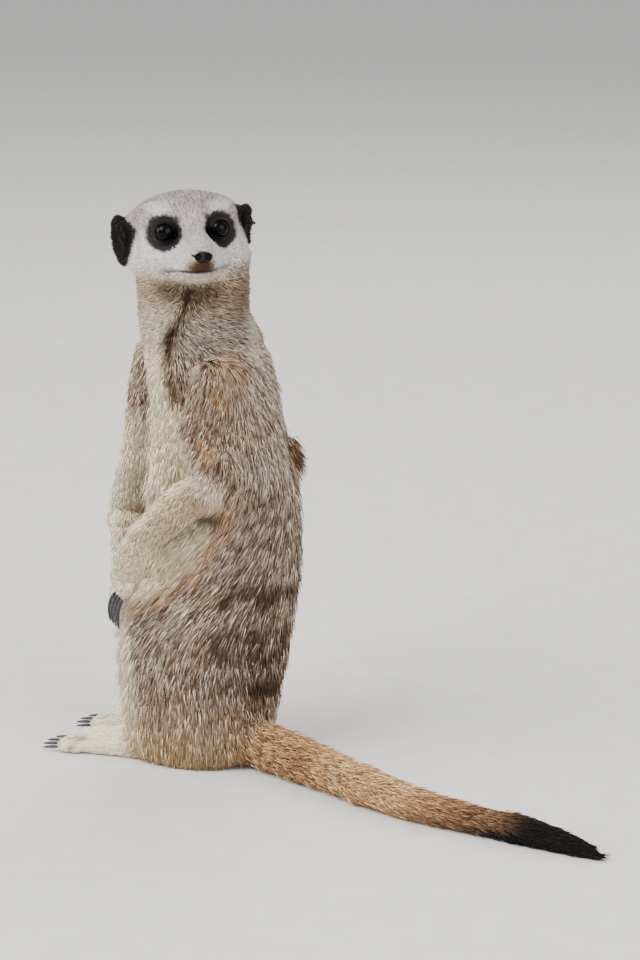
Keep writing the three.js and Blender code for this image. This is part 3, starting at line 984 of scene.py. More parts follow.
    def paint(self) -> np.ndarray:
        """Works out the shares.

        Returns:
            A row of eight shares for every vertex, in the order of SHARES.
        """
        shares = Shares(len(self.height))
        off, reach = self.front_edge()
        past = np.abs(off) - reach + self.ragged * self.coarse
        belly = ease(past, *self.belly_blur) * ease(self.height, *self.belly_foot)
        border = ease(np.abs(past - self.border_middle), *self.border_gap)
        border *= window(self.height, *self.border)
        fringe = ease(self.height, *self.fringe_top) * self.trunk
        knee = self.trunk * self.kneecap() * window(self.height, *self.knee)
        far_arm = self.share("right_upper_arm", "right_forearm", "right_hand")
        far_arm *= ease(self.height, *self.far_arm_top)
        tail = self.share("tail_root", "tail_middle", "tail_tip")
        shares.cover(fringe, gold=0.95)
        shares.cover(tail, gold=0.5)
        shares.add(fringe, warm=0.56)
        shares.add(border, gold=0.25)
        shares.add(self.trunk * border, warm=0.46)
        shares.add(knee, pale=0.9)
        self.paint_parts(shares, belly)
        self.paint_back(shares, belly)
        self.paint_arms(shares, far_arm)
        self.paint_folds(shares)
        shares.fade(fringe, dark=0.5)
        shares.fade(knee, dark=0.8)
        shares.fade(border, dark=0.4)
        shares.fade(far_arm, dark=0.8)
        shares.fade(self.share("right_upper_arm"), dark=0.4)
        self.paint_tail(shares, tail)
        local = self.skin.axes.local(self.skin.points)
        shares.cover(self.leather(), black=1.0)
        shares.cover(self.ear_black(local), black=1.0)
        self.paint_head(shares, local)
        self.paint_muzzle(shares, local)
        for eye in Side:
            self.paint_eye(shares, self.skin.face.eye_plane(self.skin.axes, eye, local))
        return shares.table()

    def paint_parts(self, shares: Shares, belly: np.ndarray) -> None:
        """What each part of the body adds, and the pale front on it.

        Args:
            shares: the shares, which change.
            belly: the share of the pale front.
        """
        upper, fore, hands, feet = (self.pairs(part) for part in ("upper_arm", "forearm", "hand", "foot"))
        neck = self.share("neck")
        shares.add(self.trunk, pale=0.06, warm=0.08)
        shares.add(self.trunk * belly, pale=0.86, warm=0.10, gold=0.8)
        shares.add(neck, pale=0.20, warm=0.08, dark=0.46, cool=0.3, painted_shade_and_brown=0.30)
        shares.add(neck * belly, pale=0.50, dark=-0.23, cool=-0.3)
        shares.add(upper, pale=0.08, warm=0.18, dark=0.60, painted_shade_and_brown=0.10)
        shares.add(upper * belly, pale=0.5, dark=-0.60)
        shares.add(fore, pale=0.64, warm=0.38, dark=0.40, gold=0.8)
        shares.add(hands, pale=0.64, warm=0.38, dark=0.26, gold=0.8)
        shares.add(feet, pale=1.0, warm=0.08, gold=0.8)
        shares.add(feet * ease(self.skin.points[:, 1] / MM, *self.heel), warm=0.128)
        # painted shadow on the lowest part of the feet, near the floor
        shares.add(feet * ease(self.height, *self.toe_shadow_top), painted_shade_and_brown=0.3)
        # painted shade in the crease between the toes
        shares.add(feet * self.drawn(TOE_CREASE_SHADE), painted_shade_and_brown=0.9)

    def paint_back(self, shares: Shares, belly: np.ndarray) -> None:
        """The grizzled back with its bars and the rough tuft, and painted shadow on the trunk under the near
        arm.

        Args:
            shares: the shares, which change.
            belly: the share of the pale front.
        """
        height = self.height
        bars = sum(strong * ease(np.abs(height - place + self.bar_blur * self.coarse),
                                 self.bar_thick + self.bar_blur, self.bar_thick - self.bar_blur)
                   for place, strong in self.bars)
        bars *= ease(self.front, *self.bar_front) * (0.75 + 0.35 * np.clip(self.fine + self.coarse, -1, 1))
        behind = self.trunk * (1 - belly)
        shares.add(behind, dark=0.43)
        shares.add(behind * bars, dark=0.52)
        shares.add(behind * ease(self.front, *self.back_front), dark=0.12)
        shares.add(behind * ease(height, *self.back_top), dark=-0.08)
        shares.add(behind * ease(height, *self.back_foot), dark=0.14)
        shares.add(behind * window(height, *self.back_light), dark=-0.09)
        shares.add(self.trunk * bars, painted_shade_and_brown=0.55)
        shares.add(self.trunk * ease(self.coarse, *self.blotch), warm=0.10)
        haunch = ease(self.front, *self.haunch_front) * ease(height, *self.haunch_top)
        shares.add(self.trunk * haunch, painted_shade_and_brown=0.10)
        # painted shadow on the trunk close under the near arm, weaker on the pale belly
        under = ease(self.skin.arm_gap[Side.LEFT], *self.arm_shadow_gap) * ease(height, *self.arm_shadow_top)
        shares.add(self.trunk * under, painted_shade_and_brown=0.8)
        shares.add(self.trunk * under * belly, painted_shade_and_brown=-0.32)
        shares.add(self.rough(), warm=0.6, dark=0.5, painted_shade_and_brown=0.8)

    def paint_arms(self, shares: Shares, far_arm: np.ndarray) -> None:
        """The near arm speckled, with a painted highlight on the sides that face up towards the key light,
        and the far arm pale, with a painted highlight on its outer side and painted shade on its inner side.

        Args:
            shares: the shares, which change.
            far_arm: the share of the far arm below the shoulder.
        """
        # painted highlight: the near forearm and hand paler where they face up towards the key light
        above = ease(self.skin.normals @ unit(np.array(self.above)), *self.highlight_way)
        shares.add(self.share("left_forearm", "left_hand") * above, pale=0.4)
        shares.add(self.share("left_upper_arm", "left_forearm"), gold=0.3)
        shares.add(self.share("left_forearm") * ease(self.height, *self.speckle), pale=-0.22, dark=0.25)
        # painted highlight on the far arm's outer side, which faces the key light, with some warmth taken
        # out, and painted shade on its inner side
        outer = ease(-self.skin.normals[:, 1], *self.highlight_side_way)
        shares.add(far_arm, pale=0.36)
        shares.add(far_arm * outer, pale=0.50)
        shares.add(far_arm * (1 - outer), painted_shade_and_brown=0.16)
        shares.add((self.pairs("forearm") + self.pairs("hand")) * far_arm * outer, warm=-0.266)

    def paint_folds(self, shares: Shares) -> None:
        """Painted shade in the creases of the neck, shoulder, elbow and digits, the rusty locks, and painted
        shadow under the chin.

        Args:
            shares: the shares, which change.
        """
        # painted shade in the crease down the far side of the neck
        shares.add(self.crease(), dark=0.5, painted_shade_and_brown=0.9)
        # each line adds its own colours; the shoulder fold's darkening is painted shade in the fold
        for line in (NECK_CREASE[1], SHOULDER_FOLD, NAPE, NAPE_EDGE, *RUST):
            shares.add(self.drawn(line), **line.adds)
        # painted shadow in the crook between the near forearm and the belly
        crook_shadow = self.drawn(CROOK_SHADOW) * ease(self.skin.normals[:, 1], *self.crook_shadow_way)
        shares.add(crook_shadow, dark=0.5, painted_shade_and_brown=0.6)
        # the tan collar of the throat, with a little painted shadow from the chin
        collar = self.share("neck", "chest", "head") * window(self.height, *self.collar)
        collar *= ease(self.front, *self.collar_front)
        shares.add(collar, warm=0.36, gold=0.8, painted_shade_and_brown=0.16)
        # painted shadow on the throat under the chin
        shares.add(CHIN_SHADOW.share(self.skin.points / MM) * collar, painted_shade_and_brown=0.55)
        # painted shade in the grooves between the fingers and between the toes
        shares.add(self.skin.grooves, painted_shade_and_brown=0.9)

    def paint_tail(self, shares: Shares, tail: np.ndarray) -> None:
        """Golden at the root, lighter in the middle, red-brown further on, black at the tip.

        Args:
            shares: the shares, which change.
            tail: the tail's own share.
        """
        root, tip = centre("tail_root")[:2], np.array(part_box("tail_tip")[1])[:2]
        way = (tip - root) / np.linalg.norm(tip - root) ** 2
        along = (self.skin.points[:, :2] - root) @ way
        below = along + self.tail_lean * ease(self.skin.normals[:, 2], *self.tail_way)
        shares.add(tail, warm=0.92, dark=0.30)
        shares.add(tail * ease(along, *self.tail_root), dark=0.20, painted_shade_and_brown=0.2)
        shares.add(tail * window(along, *self.tail_pale), pale=0.42)
        shares.add(tail * ease(along, *self.tail_brown), dark=0.45)
        shares.add(tail * ease(along, *self.tail_cold), warm=-0.10)
        shares.add(tail * ease(below, *self.tail_gloom), painted_shade_and_brown=0.55)
        shares.fade(tail * ease(along, *self.tail_red), gold=0.8)
        shares.add(tail * ease(below, *self.tail_black), black=1.0)

    def ear_black(self, local: np.ndarray) -> np.ndarray:
        """The black of the ears, which runs on over the head in front of each.

        Args:
            local: the skin's points in the head's axes.
        Returns:
            A share for each vertex.
        """
        marks, ears = self.head_marks, self.pairs("ear")
        ahead, side, rise = local.T
        reach = ease(ahead + 0.4 * np.maximum(rise + 2, 0), *marks.ear_ahead)
        reach = np.maximum(ease(ears, 0.01, 0.03), reach) * window(rise, *marks.ear_rise)
        reach *= (ahead > marks.ear_back) * (self.share("head") + ears > 0.5)
        far_edge = marks.far_ear_edge + 0.30 * np.maximum(-3 - rise, 0) + 0.6 * np.maximum(rise + 2, 0)
        near_edge = marks.near_ear_edge + 0.39 * (2 - rise)
        past = np.abs(side) - np.where(side > 0, near_edge, far_edge)
        return np.maximum(ease(past, *marks.ear_blur) * reach, ease(ears, *marks.ear_share))

    def paint_head(self, shares: Shares, local: np.ndarray) -> None:
        """White brows and cheeks, speckled crown, darker sides, pale chin.

        Args:
            shares: the shares, which change.
            local: the skin's points in the head's axes.
        """
        marks, head = self.head_marks, self.share("head", "nose")
        side, rise = np.abs(local[:, 1]), local[:, 2]
        cheek = window(rise, *marks.cheek) * ease(side, *marks.cheek_side)
        brow = marks.brow.share(side, rise) * (local[:, 0] > marks.brow_back)
        bridge = ease(side, *marks.bridge_side) * ease(rise, *marks.bridge)
        outside = ease(side, *marks.outside_side) * window(rise, *marks.outside)
        white = np.maximum(np.maximum(cheek, brow), 0.3 * bridge) * (1 - 0.5 * outside)
        crown, chin = ease(rise, *marks.crown), ease(rise, *marks.chin)
        shares.add(head, pale=0.26, cool=1.0)
        shares.add(head * white, pale=0.60)
        shares.add(head * crown, pale=-0.10)
        shares.add(head * chin, pale=0.3, warm=0.10)
        shares.add(head * self.fine, pale=0.06)
        shares.add(head * (1 - white), warm=0.05)
        grizzled = head * (1 - 0.9 * white)
        shares.add(grizzled, dark=0.40)
        shares.add(grizzled * crown, dark=0.12)
        shares.add(grizzled * outside, dark=0.2)
        shares.fade(chin, cool=0.8)

    def paint_muzzle(self, shares: Shares, local: np.ndarray) -> None:
        """Reddish lips, the black line of the mouth, and the nostrils with painted shade in their pits.

        Args:
            shares: the shares, which change.
            local: the skin's points in the head's axes.
        """
        marks, face = self.head_marks, self.skin.face
        ahead, side, rise = local[:, 0], np.abs(local[:, 1]), local[:, 2]
        lips = marks.lips.share(side, rise) * ease(ahead, *marks.lips_ahead)
        lips *= ease(face.mouth_gap(local), *marks.lips_gap)
        shares.add(lips, warm=0.22, dark=0.95, painted_shade_and_brown=0.52)
        shares.add(lips * ease(side, *marks.lips_middle), warm=0.60, painted_shade_and_brown=0.40)
        shares.fade(lips, pale=0.95, cool=1.0)
        mouth = face.mouth_share(local)
        shares.add(mouth, black=0.45)
        shares.add(mouth * ease(side, *marks.mouth_side), black=0.5)
        shares.cover(marks.corner.share(side, rise) * self.share("head", "nose"), black=0.45)
        slit = marks.slit.share(side, rise) * (ahead > marks.nostril_back)
        hole = np.maximum(marks.nostril.share(side, rise) * (ahead > marks.nostril_back), slit)
        # painted shade in the nostril pits and slits
        shares.add(hole + slit, painted_shade_and_brown=1.0)
        shares.cover(hole, black=1.0)

    def paint_eye(self, shares: Shares, plane: np.ndarray) -> None:
        """A dark patch with a spike towards the brow, the grey rim of the lower lid, and painted shade on
        the lids round the opening.

        Args:
            shares: the shares, which change.
            plane: the skin's points in that eye's axes.
        """
        marks = self.head_marks
        out, rise, ahead = plane.T
        reach = np.hypot(out - marks.patch.side, rise - marks.patch.rise) + marks.patch_ragged * self.fine
        spike = np.hypot(out - marks.spike.side, rise - marks.spike.rise) + marks.spike_ragged * self.fine
        before = ahead > marks.patch_back
        shares.cover(ease(reach, *marks.patch.blur) * before, black=marks.patch_black)
        shares.cover(ease(spike, *marks.spike.blur) * before, black=marks.spike_black)
        ring = self.skin.face.ring(plane)
        lower = ease(rise + 0.35 * out, 0.5, -2.5) * (ahead > marks.lower_lid_back)
        shares.add(lower * ease(np.abs(ring - marks.lower_lid), *marks.lower_lid_blur), slate=0.6)
        # painted shade on the lids round the eye's opening
        shares.add(ease(ring, *marks.socket) * (ahead > 0), painted_shade_and_brown=0.85)


class Wire:
    """A socket in a material, with arithmetic on numbers that adds Math nodes."""

    def __init__(self, bench: "Bench", socket: bpy.types.NodeSocket) -> None:
        """Keeps the socket and the bench that its nodes are added to."""
        self.bench = bench
        self.socket = socket

    def __add__(self, other: "Wire | float") -> "Wire":
        """Sum."""
        return self.bench.maths("ADD", self, other)

    def __radd__(self, other: float) -> "Wire":
        """Sum with a number on the left."""
        return self.bench.maths("ADD", other, self)

    def __sub__(self, other: "Wire | float") -> "Wire":
        """Difference."""
        return self.bench.maths("SUBTRACT", self, other)

    def __rsub__(self, other: float) -> "Wire":
        """Difference from a number."""
        return self.bench.maths("SUBTRACT", other, self)

    def __mul__(self, other: "Wire | float") -> "Wire":
        """Product."""
        return self.bench.maths("MULTIPLY", self, other)

    def __rmul__(self, other: float) -> "Wire":
        """Product with a number on the left."""
        return self.bench.maths("MULTIPLY", other, self)

    def step(self, low: float, high: float) -> "Wire":
        """0 up to low, 1 from high, smooth between."""
        sockets = {"Value": self, "From Min": low, "From Max": high}
        return self.bench.add("ShaderNodeMapRange", {"interpolation_type": "SMOOTHSTEP"}, sockets)

    def clamp(self) -> "Wire":
        """Kept between 0 and 1."""
        return self.bench.add("ShaderNodeClamp", {}, {"Value": self})


class Bench:
    """One material's nodes, with its Principled shader at the end."""

    def __init__(self, name: str) -> None:
        """Starts a material with a Principled shader."""
        self.material = bpy.data.materials.new(name)
        self.material.use_nodes = True
        self.tree = self.material.node_tree
        self.shader = self.tree.nodes["Principled BSDF"]

    def add(self, kind: str, settings: dict, sockets: dict, output: int | str = 0) -> Wire:
        """Adds any node.

        Args:
            kind: the node's type.
            settings: its properties, set first.
            sockets: values or wires for its inputs, by name or number.
            output: the output that is wanted.
        Returns:
            A wire from that output.
        """
        node = self.tree.nodes.new(kind)
        for key, value in settings.items():
            setattr(node, key, value)
        for key, value in sockets.items():
            self.feed(node.inputs[key], value)
        return Wire(self, node.outputs[output])

    def feed(self, socket: bpy.types.NodeSocket, value: "Wire | float | tuple") -> None:
        """Links a wire to an input, or sets a value on it."""
        if isinstance(value, Wire):
            self.tree.links.new(value.socket, socket)
        else:
            socket.default_value = value

    def maths(self, operation: str, first: "Wire | float", second: "Wire | float" = 0.0) -> Wire:
        """A Math node."""
        return self.add("ShaderNodeMath", {"operation": operation}, {0: first, 1: second})

    def mix(self, share: "Wire | float", first: "Wire | tuple", second: "Wire | tuple",
            blend: str = "MIX") -> Wire:
        """A mix of two colours.

        Args:
            share: how much of the second.
            first: a colour.
            second: the other.
            blend: how they mix.
        Returns:
            The mixed colour.
        """
        settings = {"data_type": "RGBA", "blend_type": blend}
        return self.add("ShaderNodeMix", settings, {0: share, 6: first, 7: second}, 2)

    def noise(self, place: Wire, scale: float, detail: float) -> Wire:
        """A Noise Texture's value."""
        return self.add("ShaderNodeTexNoise", {}, {"Vector": place, "Scale": scale, "Detail": detail})

    def bump(self, height: Wire, strength: float, distance: float) -> Wire:
        """A Bump node's normal."""
        sockets = {"Strength": strength, "Distance": distance, "Height": height}
        return self.add("ShaderNodeBump", {}, sockets)

    def split(self, attribute: str) -> tuple[Wire, Wire, Wire, Wire]:
        """The four numbers of a colour attribute.

        Args:
            attribute: its name.
        Returns:
            A wire for each.
        """
        colour = self.add("ShaderNodeAttribute", {"attribute_name": attribute}, {}, "Color")
        alpha = Wire(self, colour.socket.node.outputs["Alpha"])
        red = self.add("ShaderNodeSeparateColor", {}, {0: colour}, 0)
        parts = red.socket.node.outputs
        return red, Wire(self, parts[1]), Wire(self, parts[2]), alpha

    def finish(self, **inputs: "Wire | float | tuple") -> bpy.types.Material:
        """Feeds the Principled shader, an underscore standing for a space, and returns the material.

        Args:
            inputs: a value or a wire for each of its sockets.
        Returns:
            The material.
        """
        for key, value in inputs.items():
            self.feed(self.shader.inputs[key.replace("_", " ")], value)
        return self.material


def store(mesh: bpy.types.Mesh, shares: np.ndarray) -> None:
    """Writes the eight shares of every vertex as two colour attributes.

    Args:
        mesh: the skin or a piece of the coat.
        shares: a row of eight for each vertex.
    """
    for name, table in (("markings", shares[:, :4]), ("shade", shares[:, 4:])):
        layer = mesh.attributes.new(name, "FLOAT_COLOR", "POINT")
        layer.data.foreach_set("color", table.ravel().astype(np.float32))


def tone(code: str) -> tuple[float, float, float, float]:
    """A colour from six hexadecimal digits, as the shaders want it.

    Args:
        code: the digits.
    Returns:
        Red, green, blue and 1.
    """
    parts = [int(code[i:i + 2], 16) / 255 for i in (0, 2, 4)]
    return (*[part / 12.92 if part <= 0.04045 else ((part + 0.055) / 1.055) ** 2.4 for part in parts], 1.0)


@dataclass(frozen=True)
class FurFinish:
    """Colours of the coat, one for each kind of hair, from root to tip, and the dark brown of its painted
    shade.
    """

    name: str
    layer: Layer
    silver: str = "D4C6B8"
    cool_silver: str = "CDC3C4"
    cool_umber: str = "63564F"
    cool_brown: str = "83736E"
    white: str = "E2DDD9"
    white_root: str = "8A807B"
    straw: str = "E6BF82"
    ochre: str = "A0743F"
    slate: str = "4C5058"
    # the dark brown that painted shade multiplies the colour by; it also darkens some brown marks
    painted_shade_and_brown: str = "4A382E"
    umber: str = "3B2A22"
    brown: str = "644A3C"
    cream: str = "FCF3D9"
    cream_root: str = "B0A084"
    tan: str = "E3B07A"
    rust: str = "9A6545"
    black: str = "1E1614"
    roughness: float = 0.62
    specular: float = 0.22
    skin_roughness: float = 0.55
    skin_specular: float = 0.12
    patchy: float = 0.5
    edge: Span = (0.42, 0.58)
    grizzle_up: Span = (0.12, 0.55)
    cream_up: Span = (0.0, 0.5)
    warm_up: Span = (0.0, 0.7)
    red_mix: Span = (0.2, 0.8)
    yellow_mix: Span = (0.1, 0.7)
    least_light: float = 0.80
    light_spread: float = 0.38
    skin_grain: Span = (900.0, 420.0)

    def make(self) -> bpy.types.Material:
        """Builds the material from the markings and, on the coat, each tuft's own numbers.

        Returns:
            The material.
        """
        bench = Bench(self.name)
        pale, warm, dark, black = bench.split("markings")
        cool, gold, painted_shade_and_brown, slate = bench.split("shade")
        if self.layer is Layer.COAT:
            along, first, second, _ = bench.split("strand")
        else:
            place = bench.add("ShaderNodeTexCoord", {}, {}, "Object")
            first, second = (bench.noise(place, scale, 2.0) for scale in self.skin_grain)
            along = first * 0.5
        silver, umber, brown, cream, root = (
            bench.mix(cool, tone(plain), tone(cold))
            for plain, cold in ((self.silver, self.cool_silver), (self.umber, self.cool_umber),
                                (self.brown, self.cool_brown), (self.cream, self.white),
                                (self.cream_root, self.white_root)))
        tip = bench.mix((dark - first + 0.5).step(*self.edge), silver, brown)
        grizzle = bench.mix(along.step(*self.grizzle_up), umber, tip)
        light = bench.mix(along.step(*self.cream_up), root, cream)
        pale_here = (pale + (second - 0.5) * self.patchy * (1 - pale)).clamp()
        coat = bench.mix(pale_here, grizzle, light)
        red = bench.mix(second.step(*self.red_mix), tone(self.rust), tone(self.tan))
        yellow = bench.mix(second.step(*self.yellow_mix), tone(self.ochre), tone(self.straw))
        warm_here = (warm + (first - 0.5) * self.patchy * warm).clamp()
        warm_here = warm_here * (0.35 + 0.65 * along.step(*self.warm_up))
        coat = bench.mix(warm_here, coat, bench.mix(gold, red, yellow))
        coat = bench.mix(black, coat, bench.mix(slate, tone(self.black), tone(self.slate)))
        # painted shade: multiplied by dark brown as far as the seventh share says
        coat = bench.mix(painted_shade_and_brown, coat, tone(self.painted_shade_and_brown), "MULTIPLY")
        lit = self.least_light + self.light_spread * second
        lit = bench.add("ShaderNodeCombineColor", {}, {0: lit, 1: lit, 2: lit})
        coat = bench.mix(1.0, coat, lit, "MULTIPLY")
        if self.layer is Layer.COAT:
            return bench.finish(Base_Color=coat, Roughness=self.roughness, Specular_IOR_Level=self.specular)
        return bench.finish(Base_Color=coat, Roughness=self.skin_roughness + 0.1 * (1 - black),
                            Specular_IOR_Level=self.skin_specular, Normal=bench.bump(first, 0.35, 0.4 * MM))


@dataclass
class Lie:
    """The way the coat lies, its length and its width at every vertex of the skin."""

    skin: Skin
    markings: Markings
    flow_rounds: int = 10
    calm_rounds: int = 90
    calm_share: Span = (0.4, 0.9)
    size_rounds: int = 30
    lean: Window = (45, 85, 120, 165)
    throat: Span = (196, 218)
    shoulder: Span = (150, 190)
    sweep_wide: float = 12.0
    parting: tuple[float, float, float] = (24.5, 0, -9.6)
    rough_lift: float = 45.0
    rough_length: float = 5.0
    knee_lift: float = 9.0
    arm_gap: Span = (6, 1)
    nose: tuple[float, float, float] = (24, 0, -9.4)
    nose_gap: Span = (30, 8)
    eye_ring: Span = (1.2, 3.2)
    bare_ring: float = 1.22
    sole: float = 1.2 * MM
    flow: np.ndarray = field(init=False)
    length: np.ndarray = field(init=False)
    width: np.ndarray = field(init=False)
    lift: np.ndarray = field(init=False)
    clump: np.ndarray = field(init=False)
    bare: np.ndarray = field(init=False)

    def part_ways(self) -> np.ndarray:
        """The way each part's coat points, from the frame's nodes, as unit rows in the order of FLESH.

        Returns:
            A unit row for each part.
        """
        ways = np.tile(-UP, (len(FLESH), 1))
        for index, flesh in enumerate(FLESH):
            if flesh.toward:
                ways[index] = centre(flesh.toward) - centre(flesh.node)
        ways[PART["tail_tip"]] = centre("tail_tip") - centre("tail_middle")
        for side in Side:
            ears = centre(f"{side.value}_ear") - centre("head")
            ways[PART[f"{side.value}_ear"]] = ears * np.array([1, 1, 0]) - 0.01 * UP
        return unit(ways)

    def build(self) -> None:
        """Works out the flow, the lengths and the widths."""
        skin, marks = self.skin, self.markings
        flank = marks.share("belly", "rump") + marks.pairs("thigh")
        head = marks.share("head", "nose")
        self.comb(flank, head)
        self.length, self.width, self.lift, self.clump = (
            skin.graph.spread(skin.weights @ column(name)[:, None], self.size_rounds)[:, 0]
            for name in ("length", "width", "lift", "clump"))
        rough, knee = marks.rough(), flank * marks.kneecap()
        beside = ease(np.minimum(*skin.arm_gap.values()), *self.arm_gap) * flank
        self.lift = (self.lift + self.rough_lift * rough + self.knee_lift * knee) * (1 - 0.4 * beside)
        self.clump *= 1 - 0.6 * rough
        self.length += self.rough_length * rough
        self.length *= (1 + 0.3 * knee) * (1 - 0.5 * skin.grooves)
        self.length *= 1 - 0.35 * beside
        local = skin.axes.local(skin.points)
        short = 1 - head * 0.66 * ease(np.linalg.norm(local - np.array(self.nose), axis=1), *self.nose_gap)
        for side in Side:
            plane = skin.face.eye_plane(skin.axes, side, local)
            short = np.minimum(short, 0.30 + 0.7 * ease(skin.face.ring(plane), *self.eye_ring))
        self.length *= short
        self.width *= 0.4 + 0.6 * short
        self.bare = self.bare_skin(local)

    def comb(self, flank: np.ndarray, head: np.ndarray) -> None:
        """Lays the coat: along each part, ahead over the flanks, round the neck, and back from the nose.

        Args:
            flank: the share of the belly, rump and thighs.
            head: the share of the head and nose.
        """
        skin, marks, height = self.skin, self.markings, self.markings.height
        ways = skin.weights @ self.part_ways()
        lean = 0.8 * window(height, *self.lean)
        ways = ways + marks.facing(height) * (flank * lean)[:, None]
        off, reach = marks.front_edge()
        neck = marks.share("neck", "chest") + 0.6 * marks.pairs("upper_arm")
        high = ease(height, *self.throat)
        sweep = np.tanh((off - reach) / self.sweep_wide) * (1 - 0.2 * high)
        around = marks.round_way() * (neck * sweep * (0.35 + 0.75 * high))[:, None]
        ways = ways * (1 - 0.72 * neck * high)[:, None] + around * ease(height, *self.shoulder)[:, None]
        away = skin.points - skin.axes.world(np.array(self.parting))
        ways = ways * (1 - head[:, None]) + unit(away) * head[:, None]
        flow = skin.graph.spread(across(skin.normals, ways), self.flow_rounds)
        body = marks.share("neck", "chest", "belly", "rump")
        body = body + marks.pairs("thigh") + marks.pairs("upper_arm")
        calm = 0.5 * ease(body, *self.calm_share)[:, None]
        self.flow = across(skin.normals, skin.graph.spread(flow, self.calm_rounds, calm))

    def bare_skin(self, local: np.ndarray) -> np.ndarray:
        """1 where no tuft grows: eyes, nose leather, the line of the mouth and the soles.

        Args:
            local: the skin's points in the head's axes.
        Returns:
            A share for each vertex.
        """
        skin = self.skin
        bare = (self.markings.leather() > 0.5).astype(float)
        for side in Side:
            plane = skin.face.eye_plane(skin.axes, side, local)
            bare = np.maximum(bare, (skin.face.ring(plane) < self.bare_ring) & (plane[:, 2] > 0))
        bare = np.maximum(bare, skin.face.mouth_share(local) > 0.5)
        sole = (skin.points[:, 2] < self.sole) & (skin.normals[:, 2] < -0.5)
        return np.maximum(bare, sole)


TUFT_FACES = ((0, 1, 3), (0, 3, 2), (0, 2, 1), (4, 3, 1), (4, 2, 3), (4, 1, 2))


